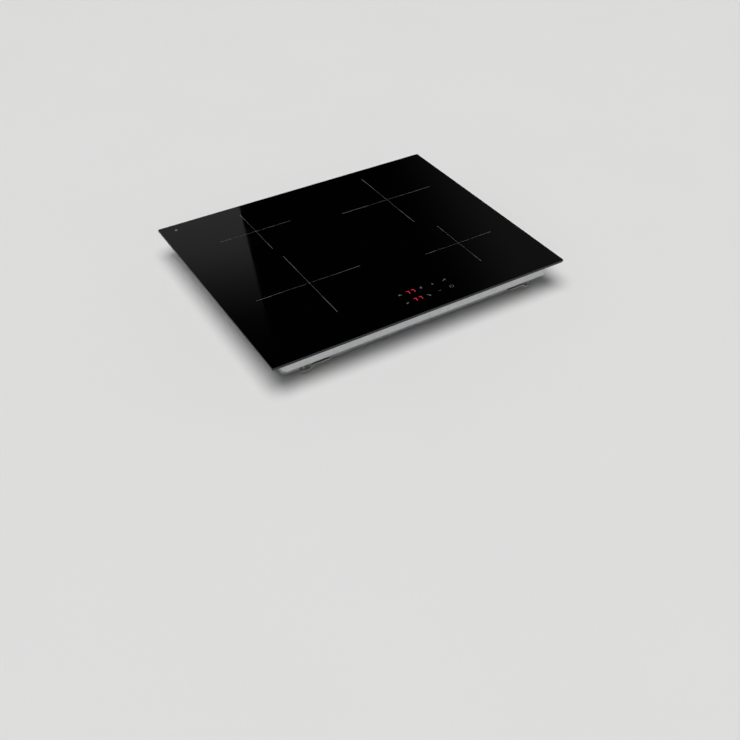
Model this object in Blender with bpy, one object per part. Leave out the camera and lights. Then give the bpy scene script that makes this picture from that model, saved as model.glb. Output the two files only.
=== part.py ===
"""A built-in induction hob: glass top, pressed tray, four coils, power electronics, fans and fixing clamps.

Metres, +Z up. X runs along the front edge to the user's right and +Y to the back. The origin lies under the
middle of the glass, on the surface that the tray's feet stand on.
"""

import math

import bmesh
import bpy
from mathutils import Matrix

# Fits
SEAT_GAP = 0.0003
RUN_GAP = 0.0006
EMBED = 0.0005
THROUGH = 0.004

# Glass top and its sealing tape
GLASS_WIDTH = 0.600
GLASS_DEPTH = 0.510
GLASS_THICKNESS = 0.004
GLASS_CORNER = 0.0025
GLASS_ARRIS = 0.0005
GASKET_INSET = 0.0015
GASKET_WIDTH = 0.008
GASKET_THICKNESS = 0.002
WORKTOP_THICKNESS = 0.030

# Pressed tray
SIDE_OVERHANG = 0.024
END_OVERHANG = 0.014
TRAY_HEIGHT = 0.0512
TRAY_SHEET = 0.001
TRAY_CORNER = 0.012
TRAY_BEND = 0.003
RIM_GAP = 0.0008
LEDGE_HEIGHT = 0.024
LEDGE_DEPTH = 0.018
LEDGE_SIDE = 0.006
LEDGE_BEND = 0.0015
FOOT_DEPTH = 0.0025
FOOT_RADIUS = 0.014
FOOT_INSET = 0.034
BEAD_LENGTH = 0.400
BEAD_WIDTH = 0.014
BEAD_DEPTH = 0.0015
BEAD_FROM_FRONT = 0.080
BEAD_PITCH = 0.070
BEAD_COUNT = 3
VENT_FIELD = 0.340
VENT_WIDTH = 0.0034
VENT_PITCH = 0.010
VENT_MARGIN = 0.004
GRILLE_WIDTH = 0.0036
GRILLE_PITCH = 0.008
GRILLE_BRIDGE = 0.006

# Steel angles bonded under the glass
RAIL_SHEET = 0.0012
RAIL_FLANGE = 0.010
RAIL_HEIGHT = 0.015
RAIL_END_GAP = 0.025

# Coil plate
PLATE_SHEET = 0.0012
PLATE_SIDE_GAP = 0.013
PLATE_END_GAP = 0.012
PLATE_HOLE_RADIUS = 0.014
PLATE_SLOT_LENGTH = 0.060
PLATE_SLOT_WIDTH = 0.008

# Cooking zones: diameters of the printed marks as shares of the glass's depth, centres from its sides, and
# margins from the marks to its front or rear edge
LARGE_SHARE = 7 / 17
SMALL_SHARE = 5 / 17
REAR_LEFT_FROM_SIDE = 0.1590
REAR_LEFT_MARGIN = 0.0335
FRONT_LEFT_FROM_SIDE = 0.1640
FRONT_LEFT_MARGIN = 0.0815
REAR_RIGHT_FROM_SIDE = 0.1620
REAR_RIGHT_MARGIN = 0.0345
FRONT_RIGHT_FROM_SIDE = 0.1325
FRONT_RIGHT_MARGIN = 0.0795

# Coils
COIL_MARGIN = 0.005
COIL_INNER_RADIUS = 0.024
WIRE_WIDTH = 0.0050
WIRE_HEIGHT = 0.0032
WIRE_PITCH = 0.0065
TURN_STEPS = 16
MAT_THICKNESS = 0.003
MAT_BORE = 0.011
CARRIER_FLOOR = 0.002
CARRIER_LIP = 0.002
CARRIER_LIP_HEIGHT = 0.0022
CARRIER_BORE = 0.008
FERRITE_COUNT = 6
FERRITE_WIDTH = 0.013
FERRITE_HEIGHT = 0.0023
FERRITE_INSET = 0.005
FERRITE_START = 0.018
EAR_WIDTH = 0.012
EAR_REACH = 0.007
EAR_HOLE = 0.002
SENSOR_CAP_RADIUS = 0.006

# Fans
FAN_FROM_SIDE = 0.130
FAN_FROM_REAR = 0.062
FAN_HEIGHT = 0.024
FAN_WALL = 0.0018
ROTOR_RADIUS = 0.036
ROTOR_DISC = 0.0012
ROTOR_CUP_WALL = 0.0014
BLADE_COUNT = 17
BLADE_LENGTH = 0.010
BLADE_THICKNESS = 0.001
BLADE_SWEEP = 18.0
SHROUD_WIDTH = 0.0035
ROTOR_TOP_GAP = 0.003
ROTOR_FLOOR_GAP = 0.0025
SCROLL_START_GAP = 0.004
SCROLL_GROWTH = 0.014
THROAT_LENGTH = 0.058
MOTOR_RADIUS = 0.011
MOTOR_FLANGE_RADIUS = 0.016
MOTOR_FLANGE = 0.0015
SHAFT_RADIUS = 0.0015
SHAFT_BOSS_RADIUS = 0.004

# Power electronics
BOARD_MID_GAP = 0.030
BOARD_EDGE_GAP = 0.006
BOARD_THICKNESS = 0.0016
BOARD_NOTCH = 0.010
CARRIER_SHEET = 0.002
CARRIER_RIM = 0.005
POST_HEIGHT = 0.006
POST_RADIUS = 0.004
POST_INSET = 0.022
HEATSINK_WIDTH = 0.060
HEATSINK_HEIGHT = 0.017
HEATSINK_LENGTH = 0.130
HEATSINK_BASE = 0.004
FIN_THICKNESS = 0.0016
FIN_PITCH = 0.0055
AIR_GAP = 0.006
CAPACITOR_WIDTH = 0.032
CAPACITOR_DEPTH = 0.020
CAPACITOR_HEIGHT = 0.016
CAPACITOR_EDGE = 0.0015
CAPACITOR_SPACING = 0.032
COMPONENT_OFFSET = 0.060
CHOKE_RADIUS = 0.017
CHOKE_BORE = 0.007
CHOKE_HEIGHT = 0.014
CHOKE_EDGE = 0.003
CHOKE_SPACING = 0.048

# Touch unit
TOUCH_WIDTH = 0.134
TOUCH_DEPTH = 0.046
TOUCH_CENTRE_X = 0.0255
TOUCH_FROM_FRONT = 0.028
TOUCH_BOARD = 0.0016
KEY_HEIGHT = 0.0048
KEY_RADIUS = 0.0045
KEY_ROW_REAR = 0.0635
KEY_ROW_FRONT = 0.0370
KEY_COLUMNS = (-0.0220, 0.0235, 0.0470, 0.0725)
DISPLAY_CENTRE_X = 0.0024
DISPLAY_WIDTH = 0.024
DISPLAY_DEPTH = 0.015
TOUCH_WALL = 0.002
TOUCH_FLOOR = 0.0015
RIBBON_WIDTH = 0.014
RIBBON_THICKNESS = 0.001
RIBBON_SWAY = 0.005
RIBBON_X = 0.060
RIBBON_WINDOW_GAP = 0.003

# Mains terminals
TERMINAL_WIDTH = 0.092
TERMINAL_DEPTH = 0.056
TERMINAL_FROM_REAR = 0.009
BOX_HEIGHT = 0.022
BOX_WALL = 0.002
BOX_SIDE_LAND = 0.002
BOX_REAR_GAP = 0.0023
COVER_THICKNESS = 0.002
COVER_GAP = 0.0009
NOTCH_WIDTH = 0.018
NOTCH_DEPTH = 0.003
HINGE_SETBACK = 0.005
HINGE_RISE = 0.004
HINGE_SWEEP_GAP = 0.0015
PIN_RADIUS = 0.0015
KNUCKLE_WIDTH = 0.005
KNUCKLE_RADIUS = 0.0026
BLOCK_DEPTH = 0.022
BLOCK_HEIGHT = 0.012
BLOCK_STEP = 0.004
BLOCK_FROM_HINGE = 0.012
POLE_COUNT = 5
POLE_PITCH = 0.014
BARRIER = 0.0025
INLET_BORE = 0.0055
INLET_NECK = 0.0070
INLET_FLANGE = 0.0085
INLET_FLANGE_THICKNESS = 0.0014

# Fixing clamps
CLAMP_FROM_SIDE = 0.041
CLAMP_STRIP = 0.0015
CLAMP_WIDTH = 0.014
CLAMP_FOOT = 0.010
CLAMP_RISE_RUN = 0.006
CLAMP_LENGTH = 0.048
CLAMP_JOG = 0.006
SCREW_RADIUS = 0.002
SCREW_HEAD_RADIUS = 0.004
SCREW_HEAD_HEIGHT = 0.003
SCREW_PROUD = 0.004

# Smoothness
CORNER_STEPS = 3
BEND_STEPS = 2
DISC_STEPS = 24
ROUND_STEPS = 16
SMALL_STEPS = 8
SLOT_STEPS = 2
SHARP_ANGLE = math.radians(35)

# Places that follow from the sizes
GLASS_UNDERSIDE = TRAY_HEIGHT + RIM_GAP
GLASS_TOP = GLASS_UNDERSIDE + GLASS_THICKNESS
GASKET_TOP = GLASS_UNDERSIDE - SEAT_GAP
GASKET_BOTTOM = GASKET_TOP - GASKET_THICKNESS
TRAY_WIDTH = GLASS_WIDTH - 2 * SIDE_OVERHANG
TRAY_DEPTH = GLASS_DEPTH - 2 * END_OVERHANG
LOWER_WIDTH = TRAY_WIDTH - 2 * LEDGE_SIDE
LOWER_DEPTH = TRAY_DEPTH - 2 * LEDGE_DEPTH
FLOOR_TOP = FOOT_DEPTH + TRAY_SHEET
LEDGE_TOP = LEDGE_HEIGHT + TRAY_SHEET
LOWER_INSIDE_X = LOWER_WIDTH / 2 - TRAY_SHEET
LOWER_INSIDE_Y = LOWER_DEPTH / 2 - TRAY_SHEET
UPPER_INSIDE_X = TRAY_WIDTH / 2 - TRAY_SHEET
UPPER_INSIDE_Y = TRAY_DEPTH / 2 - TRAY_SHEET
MAT_BOTTOM = GLASS_UNDERSIDE - SEAT_GAP - MAT_THICKNESS
WIRE_TOP = MAT_BOTTOM - SEAT_GAP
WIRE_BOTTOM = WIRE_TOP - WIRE_HEIGHT
CARRIER_TOP = WIRE_BOTTOM - SEAT_GAP
CARRIER_BOTTOM = CARRIER_TOP - CARRIER_FLOOR
FERRITE_BOTTOM = CARRIER_BOTTOM - FERRITE_HEIGHT
PLATE_TOP = FERRITE_BOTTOM - SEAT_GAP
PLATE_BOTTOM = PLATE_TOP - PLATE_SHEET
LARGE_ZONE = GLASS_DEPTH * LARGE_SHARE
SMALL_ZONE = GLASS_DEPTH * SMALL_SHARE
FAN_X = LOWER_WIDTH / 2 - FAN_FROM_SIDE
FAN_Y = LOWER_INSIDE_Y - FAN_FROM_REAR
FAN_BOTTOM = FLOOR_TOP + SEAT_GAP
FAN_TOP = FAN_BOTTOM + FAN_HEIGHT
SCROLL_RADIUS = ROTOR_RADIUS + SCROLL_START_GAP
SCROLL_END = SCROLL_RADIUS + SCROLL_GROWTH
THROAT_INSIDE = SCROLL_RADIUS / 2
THROAT_FRONT = FAN_Y - THROAT_LENGTH
THROAT_X = (THROAT_INSIDE + SCROLL_END) / 2
CARRIER_PLATE_BOTTOM = FLOOR_TOP + SEAT_GAP
CARRIER_PLATE_TOP = CARRIER_PLATE_BOTTOM + CARRIER_SHEET
BOARD_BOTTOM = CARRIER_PLATE_TOP + POST_HEIGHT + SEAT_GAP
BOARD_TOP = BOARD_BOTTOM + BOARD_THICKNESS
COMPONENT_BOTTOM = BOARD_TOP + SEAT_GAP
BOARD_FRONT = -LOWER_INSIDE_Y + BOARD_EDGE_GAP
BOARD_REAR = THROAT_FRONT - AIR_GAP
BOARD_DEPTH = BOARD_REAR - BOARD_FRONT
BOARD_WIDTH = LOWER_INSIDE_X - BOARD_EDGE_GAP - BOARD_MID_GAP / 2
BOARD_X = (BOARD_MID_GAP + BOARD_WIDTH) / 2
BOARD_Y = (BOARD_FRONT + BOARD_REAR) / 2
TOUCH_BOARD_TOP = GLASS_UNDERSIDE - SEAT_GAP - KEY_HEIGHT
TOUCH_BOARD_BOTTOM = TOUCH_BOARD_TOP - TOUCH_BOARD
TOUCH_Y = -GLASS_DEPTH / 2 + TOUCH_FROM_FRONT + TOUCH_DEPTH / 2
RIBBON_Y = TOUCH_Y
OPENING_REAR = LOWER_INSIDE_Y - TERMINAL_FROM_REAR
OPENING_FRONT = OPENING_REAR - TERMINAL_DEPTH
COVER_FRONT = OPENING_FRONT + COVER_GAP
COVER_REAR = OPENING_REAR - COVER_GAP
COVER_BOTTOM = FOOT_DEPTH
COVER_TOP = COVER_BOTTOM + COVER_THICKNESS
HINGE_Y = COVER_FRONT + HINGE_SETBACK
HINGE_Z = COVER_BOTTOM + HINGE_RISE
BOX_INSIDE_X = TERMINAL_WIDTH / 2 + BOX_SIDE_LAND
BOX_FRONT_INSIDE = HINGE_Y - math.hypot(HINGE_SETBACK, HINGE_RISE) - HINGE_SWEEP_GAP
BOX_REAR_OUTSIDE = LOWER_INSIDE_Y - BOX_REAR_GAP
BOX_BOTTOM = FLOOR_TOP + SEAT_GAP
BOX_TOP = BOX_BOTTOM + BOX_HEIGHT
INLET_Z = FOOT_DEPTH + TRAY_BEND + INLET_FLANGE
CLAMP_X = TRAY_WIDTH / 2 - CLAMP_FROM_SIDE
CLAMP_Y = TRAY_DEPTH / 2 - LEDGE_DEPTH / 2
CLAMP_TIP_TOP = GASKET_BOTTOM - WORKTOP_THICKNESS
CLAMP_FOOT_BOTTOM = CLAMP_TIP_TOP - CLAMP_JOG - CLAMP_STRIP


def clear_scene():
    for old in list(bpy.data.objects):
        bpy.data.objects.remove(old)


def finish(name, colour, roughness, metallic=0.0):
    """A material of one colour, with its gloss and whether it is bare metal."""
    material = bpy.data.materials.new(name)
    material.use_nodes = True
    shader = material.node_tree.nodes["Principled BSDF"]
    shader.inputs["Base Color"].default_value = (*colour, 1.0)
    shader.inputs["Roughness"].default_value = roughness
    shader.inputs["Metallic"].default_value = metallic
    material.diffuse_color = (*colour, 1.0)
    return material


def make_finishes():
    return {
        "black_glass": finish("black_glass", (0.004, 0.004, 0.005), 0.05),
        "sealing_tape": finish("sealing_tape", (0.02, 0.02, 0.02), 0.9),
        "zinc_steel": finish("zinc_steel", (0.55, 0.56, 0.57), 0.45, 1.0),
        "spring_steel": finish("spring_steel", (0.48, 0.47, 0.44), 0.4, 1.0),
        "screw_steel": finish("screw_steel", (0.62, 0.62, 0.60), 0.35, 1.0),
        "aluminium": finish("aluminium", (0.75, 0.76, 0.77), 0.38, 1.0),
        "copper": finish("copper", (0.72, 0.36, 0.18), 0.4, 1.0),
        "mica": finish("mica", (0.70, 0.66, 0.56), 0.9),
        "silicone": finish("silicone", (0.80, 0.80, 0.78), 0.6),
        "black_plastic": finish("black_plastic", (0.03, 0.03, 0.032), 0.5),
        "grey_plastic": finish("grey_plastic", (0.42, 0.42, 0.41), 0.55),
        "white_plastic": finish("white_plastic", (0.78, 0.77, 0.73), 0.5),
        "circuit_board": finish("circuit_board", (0.05, 0.20, 0.09), 0.45),
        "capacitor_case": finish("capacitor_case", (0.10, 0.16, 0.42), 0.4),
        "choke_core": finish("choke_core", (0.45, 0.27, 0.08), 0.5),
        "rubber": finish("rubber", (0.025, 0.025, 0.025), 0.85),
    }


def link(obj, parent, place, turn):
    bpy.context.scene.collection.objects.link(obj)
    obj.parent = parent
    obj.location = place
    obj.rotation_euler.z = turn


def empty(name, parent=None, place=(0.0, 0.0, 0.0), turn=0.0):
    holder = bpy.data.objects.new(name, None)
    link(holder, parent, place, turn)
    return holder


def solid(name, body, parent, place, turn):
    bmesh.ops.recalc_face_normals(body, faces=body.faces)
    mesh = bpy.data.meshes.new(name)
    body.to_mesh(mesh)
    body.free()
    obj = bpy.data.objects.new(name, mesh)
    link(obj, parent, place, turn)
    return obj


def piece(name, body, material, parent=None, place=(0.0, 0.0, 0.0), turn=0.0):
    """A finished sub-part from a closed body."""
    obj = solid(name, body, parent, place, turn)
    obj.data.shade_smooth()
    obj.data.set_sharp_from_angle(angle=SHARP_ANGLE)
    obj.data.materials.append(material)
    return obj


def combine(target, operation, name, body, parent=None, place=(0.0, 0.0, 0.0)):
    """Fuses a body to a piece, or cuts it out of the piece."""
    tool = solid(name, body, parent, place, 0.0)
    tool.hide_render = True
    tool.display_type = "WIRE"
    modifier = target.modifiers.new(name, "BOOLEAN")
    modifier.operation = operation
    modifier.object = tool


def level(outline, z):
    return [(x, y, z) for x, y in outline]


def loft(body, rings, closed=False):
    """Skins equal rings of points: a solid with flat ends, or a hoop that runs back to its first ring."""
    loops = [[body.verts.new(point) for point in ring] for ring in rings]
    spans = list(zip(loops, loops[1:]))
    if closed:
        spans.append((loops[-1], loops[0]))
    for lower, upper in spans:
        for corners in zip(lower, lower[1:] + lower[:1], upper[1:] + upper[:1], upper):
            body.faces.new(corners)
    if not closed:
        body.faces.new(loops[0])
        body.faces.new(loops[-1])
    return body


def prism(body, outline, low, high):
    return loft(body, [level(outline, low), level(outline, high)])


def bar_along_x(body, profile, start, end):
    """Carries a profile of (y, z) points along X."""
    return loft(body, [[(x, y, z) for y, z in profile] for x in (start, end)])


def bar_along_y(body, profile, start, end):
    """Carries a profile of (x, z) points along Y."""
    return loft(body, [[(x, y, z) for x, z in profile] for y in (start, end)])


def arc(radius, start, end, steps, x=0.0, y=0.0):
    """Points on an arc, with its angles in degrees."""
    points = []
    for step in range(steps + 1):
        angle = math.radians(start + (end - start) * step / steps)
        points.append((x + radius * math.cos(angle), y + radius * math.sin(angle)))
    return points


def circle(radius, steps, x=0.0, y=0.0):
    return arc(radius, 0.0, 360.0, steps, x, y)[:-1]


def rectangle(width, depth, x=0.0, y=0.0):
    right, back = width / 2, depth / 2
    return [(x - right, y - back), (x + right, y - back), (x + right, y + back), (x - right, y + back)]


def rounded_rectangle(width, depth, radius, x=0.0, y=0.0):
    """A rectangle with round corners, anticlockwise from the front right corner."""
    across, along = width / 2 - radius, depth / 2 - radius
    points = []
    for start, side, end in ((-90, 1, -1), (0, 1, 1), (90, -1, 1), (180, -1, -1)):
        points += arc(radius, start, start + 90, CORNER_STEPS, x + side * across, y + end * along)
    return points


def slot(length, width, x=0.0, y=0.0, steps=SLOT_STEPS):
    """A slot along X with half-round ends."""
    straight = (length - width) / 2
    right = arc(width / 2, -90, 90, steps, x + straight, y)
    return right + arc(width / 2, 90, 270, steps, x - straight, y)


def turned(body, profile, steps, closed=False):
    """Turns a profile of (radius, z) points about the Z axis. A closed profile leaves a bore."""
    return loft(body, [level(circle(radius, steps), z) for radius, z in profile], closed)


def make_glass(finishes):
    body = bmesh.new()
    rings = []
    for z, inset in ((GLASS_UNDERSIDE, GLASS_ARRIS), (GLASS_UNDERSIDE + GLASS_ARRIS, 0.0),
                     (GLASS_TOP - GLASS_ARRIS, 0.0), (GLASS_TOP, GLASS_ARRIS)):
        rings.append(level(rounded_rectangle(GLASS_WIDTH - 2 * inset, GLASS_DEPTH - 2 * inset,
                                             GLASS_CORNER - inset), z))
    piece("glass_top", loft(body, rings), finishes["black_glass"])


def make_gasket(finishes):
    body = bmesh.new()
    outer = rounded_rectangle(GLASS_WIDTH - 2 * GASKET_INSET, GLASS_DEPTH - 2 * GASKET_INSET, GLASS_CORNER)
    inset = GASKET_INSET + GASKET_WIDTH
    inner = rounded_rectangle(GLASS_WIDTH - 2 * inset, GLASS_DEPTH - 2 * inset, GLASS_CORNER)
    rings = [level(outer, GASKET_BOTTOM), level(outer, GASKET_TOP),
             level(inner, GASKET_TOP), level(inner, GASKET_BOTTOM)]
    piece("rim_gasket", loft(body, rings, closed=True), finishes["sealing_tape"])


def tray_section(inset):
    """The tray's wall from floor to rim, as (share of the step, inset, z), for a skin inset by that much.

    The floor bends up into the lower wall, which bends out to the ledge, which bends up to the upper wall.
    """
    section = []
    outer = TRAY_BEND - inset
    for share, base in ((1, FOOT_DEPTH), (0, LEDGE_HEIGHT)):
        for step in range(BEND_STEPS + 1):
            angle = math.radians(90 * step / BEND_STEPS)
            section.append((share, TRAY_BEND - outer * math.sin(angle),
                            base + TRAY_BEND - outer * math.cos(angle)))
        if share:
            inner = LEDGE_BEND + inset
            for step in range(BEND_STEPS + 1):
                angle = math.radians(90 * step / BEND_STEPS)
                section.append((share, inner * math.cos(angle) - LEDGE_BEND,
                                LEDGE_HEIGHT - LEDGE_BEND + inner * math.sin(angle)))
    return section


def tray_skin(inset, rim):
    rings = []
    for share, inward, z in tray_section(inset) + [(0, inset, rim)]:
        width = TRAY_WIDTH - 2 * (share * LEDGE_SIDE + inward)
        depth = TRAY_DEPTH - 2 * (share * LEDGE_DEPTH + inward)
        rings.append(level(rounded_rectangle(width, depth, TRAY_CORNER - inward), z))
    return loft(bmesh.new(), rings)


def tray_pressings(inset, reach):
    """The feet and beads pressed down from the floor, as solids whose walls are inset by that much."""
    body = bmesh.new()
    draw_in = inset * math.tan(math.radians(22.5))
    foot_x = LOWER_WIDTH / 2 - FOOT_INSET
    foot_y = LOWER_DEPTH / 2 - FOOT_INSET
    for x in (-foot_x, foot_x):
        for y in (-foot_y, foot_y):
            wide = circle(FOOT_RADIUS - draw_in, ROUND_STEPS, x, y)
            narrow = circle(FOOT_RADIUS - FOOT_DEPTH - draw_in, ROUND_STEPS, x, y)
            loft(body, [level(narrow, inset), level(wide, FOOT_DEPTH + inset), level(wide, reach)])
    for row in range(BEAD_COUNT):
        y = -LOWER_DEPTH / 2 + BEAD_FROM_FRONT + row * BEAD_PITCH
        wide = slot(BEAD_LENGTH - 2 * draw_in, BEAD_WIDTH - 2 * draw_in, 0.0, y, SMALL_STEPS // 2)
        narrow_by = 2 * (draw_in + BEAD_DEPTH)
        narrow = slot(BEAD_LENGTH - narrow_by, BEAD_WIDTH - narrow_by, 0.0, y, SMALL_STEPS // 2)
        low = FOOT_DEPTH - BEAD_DEPTH + inset
        loft(body, [level(narrow, low), level(wide, FOOT_DEPTH + inset), level(wide, reach)])
    return body


def grille_slots(body, centre_x):
    """Parallel slots in the floor under a fan, cut to the fan's circle, with a bridge across the middle."""
    rows = int(ROTOR_RADIUS / GRILLE_PITCH)
    for row in range(-rows, rows + 1):
        y = row * GRILLE_PITCH
        half = math.sqrt(max(ROTOR_RADIUS ** 2 - (abs(y) + GRILLE_WIDTH / 2) ** 2, 0.0))
        length = half - GRILLE_BRIDGE / 2
        if length > 2 * GRILLE_WIDTH:
            for side in (-1, 1):
                x = centre_x + side * (GRILLE_BRIDGE / 2 + length / 2)
                prism(body, slot(length, GRILLE_WIDTH, x, FAN_Y + y), -THROUGH, FLOOR_TOP + THROUGH)


def make_tray(finishes):
    tray = piece("bottom_tray", tray_skin(0.0, TRAY_HEIGHT), finishes["zinc_steel"])
    combine(tray, "UNION", "pressings_outside", tray_pressings(0.0, FOOT_DEPTH + TRAY_SHEET / 2))
    combine(tray, "DIFFERENCE", "tray_inside", tray_skin(TRAY_SHEET, TRAY_HEIGHT + THROUGH))
    combine(tray, "DIFFERENCE", "pressings_inside", tray_pressings(TRAY_SHEET, FLOOR_TOP + EMBED))
    cuts = bmesh.new()
    for side in (-1, 1):
        grille_slots(cuts, side * FAN_X)
    opening_y = (OPENING_FRONT + OPENING_REAR) / 2
    prism(cuts, rectangle(TERMINAL_WIDTH, TERMINAL_DEPTH, 0.0, opening_y), -THROUGH, FLOOR_TOP + THROUGH)
    vents = int(VENT_FIELD / VENT_PITCH)
    vent_low = FOOT_DEPTH + TRAY_BEND + VENT_MARGIN
    vent_high = LEDGE_HEIGHT - LEDGE_BEND - VENT_MARGIN
    for count in range(vents):
        x = (count - (vents - 1) / 2) * VENT_PITCH
        prism(cuts, rectangle(VENT_WIDTH, 2 * THROUGH, x, -LOWER_INSIDE_Y), vent_low, vent_high)
    for side in (-1, 1):
        for end in (-1, 1):
            hole = circle(SCREW_RADIUS + SEAT_GAP, SMALL_STEPS, side * CLAMP_X, end * CLAMP_Y)
            prism(cuts, hole, LEDGE_HEIGHT - THROUGH, LEDGE_TOP + THROUGH)
    inlet = circle(INLET_NECK + SEAT_GAP, ROUND_STEPS, 0.0, INLET_Z)
    bar_along_y(cuts, inlet, LOWER_INSIDE_Y - TRAY_SHEET / 2, LOWER_DEPTH / 2 + THROUGH)
    combine(tray, "DIFFERENCE", "tray_openings", cuts)


def make_rails(finishes):
    """Steel angles: one leg bonded to the glass, the other inside the tray's wall."""
    top = GLASS_UNDERSIDE - SEAT_GAP
    for name, side in (("left", -1), ("right", 1), ("front", -1), ("rear", 1)):
        across = name in ("front", "rear")
        face = (UPPER_INSIDE_Y if across else UPPER_INSIDE_X) - SEAT_GAP
        end = (UPPER_INSIDE_X if across else UPPER_INSIDE_Y) - RAIL_END_GAP
        section = [(face, top), (face, top - RAIL_HEIGHT), (face - RAIL_SHEET, top - RAIL_HEIGHT),
                   (face - RAIL_SHEET, top - RAIL_SHEET), (face - RAIL_FLANGE, top - RAIL_SHEET),
                   (face - RAIL_FLANGE, top)]
        profile = [(side * out, z) for out, z in section]
        carry = bar_along_x if across else bar_along_y
        piece("glass_rail_" + name, carry(bmesh.new(), profile, -end, end), finishes["zinc_steel"])


def zone_centres():
    """Each zone's centre and diameter: (x, y, diameter)."""
    right, back = GLASS_WIDTH / 2, GLASS_DEPTH / 2
    large, small = LARGE_ZONE / 2, SMALL_ZONE / 2
    return {
        "rear_left": (REAR_LEFT_FROM_SIDE - right, back - REAR_LEFT_MARGIN - small, SMALL_ZONE),
        "front_left": (FRONT_LEFT_FROM_SIDE - right, FRONT_LEFT_MARGIN + large - back, LARGE_ZONE),
        "rear_right": (right - REAR_RIGHT_FROM_SIDE, back - REAR_RIGHT_MARGIN - large, LARGE_ZONE),
        "front_right": (right - FRONT_RIGHT_FROM_SIDE, FRONT_RIGHT_MARGIN + small - back, SMALL_ZONE),
    }


def make_coil_plate(finishes):
    """A folded plate whose end flanges stand on the tray's ledges."""
    half = UPPER_INSIDE_Y - PLATE_END_GAP
    low = LEDGE_TOP + SEAT_GAP
    under = PLATE_TOP - PLATE_SHEET
    profile = [(-half, low), (-half, PLATE_TOP), (half, PLATE_TOP), (half, low), (half - PLATE_SHEET, low),
               (half - PLATE_SHEET, under), (PLATE_SHEET - half, under), (PLATE_SHEET - half, low)]
    reach = UPPER_INSIDE_X - PLATE_SIDE_GAP
    plate = piece("coil_plate", bar_along_x(bmesh.new(), profile, -reach, reach), finishes["aluminium"])
    cuts = bmesh.new()
    low, high = PLATE_BOTTOM - THROUGH, PLATE_TOP + THROUGH
    for x, y, diameter in zone_centres().values():
        prism(cuts, circle(PLATE_HOLE_RADIUS, ROUND_STEPS, x, y), low, high)
        lead_y = y + math.copysign(diameter / 2 - COIL_MARGIN - PLATE_SLOT_WIDTH, -y)
        prism(cuts, slot(PLATE_SLOT_LENGTH, PLATE_SLOT_WIDTH, x, lead_y), low, high)
    window = rectangle(RIBBON_WIDTH + 2 * RIBBON_WINDOW_GAP, RIBBON_THICKNESS + 2 * RIBBON_WINDOW_GAP,
                       RIBBON_X, RIBBON_Y)
    prism(cuts, window, low, high)
    combine(plate, "DIFFERENCE", "coil_plate_openings", cuts)


def spiral_stations(outer):
    """Section rings along a flat spiral from the inside out, which runs straight at its two ends."""
    turns = (outer - COIL_INNER_RADIUS - WIRE_WIDTH) / WIRE_PITCH
    count = int(turns * TURN_STEPS)
    middles = []
    for step in range(count + 1):
        angle = 2 * math.pi * step / TURN_STEPS
        middles.append((COIL_INNER_RADIUS + WIRE_WIDTH / 2 + WIRE_PITCH * step / TURN_STEPS, angle))
    rings = []
    for radius, angle in middles:
        rings.append(section_ring(radius, angle, 0.0))
    rings.insert(0, section_ring(*middles[0], -WIRE_WIDTH))
    rings.append(section_ring(*middles[-1], WIRE_WIDTH))
    return rings


def section_ring(radius, angle, along):
    """The four corners of the conductor at an angle of the spiral, moved on along its direction."""
    out = (math.cos(angle), math.sin(angle))
    corners = []
    for side, z in ((-1, WIRE_BOTTOM), (1, WIRE_BOTTOM), (1, WIRE_TOP), (-1, WIRE_TOP)):
        reach = radius + side * WIRE_WIDTH / 2
        corners.append((reach * out[0] - along * out[1], reach * out[1] + along * out[0], z))
    return corners


def least_turn_gap(rings):
    """The least distance between the inner side of one turn and the outer side of the turn inside it."""
    least = math.inf
    inner = [ring[0] for ring in rings]
    outer = [ring[1] for ring in rings]
    for index in range(TURN_STEPS // 2, len(rings)):
        for other in range(0, max(index - TURN_STEPS // 2, 0)):
            least = min(least, math.dist(inner[index], outer[other]))
    return least


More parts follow.
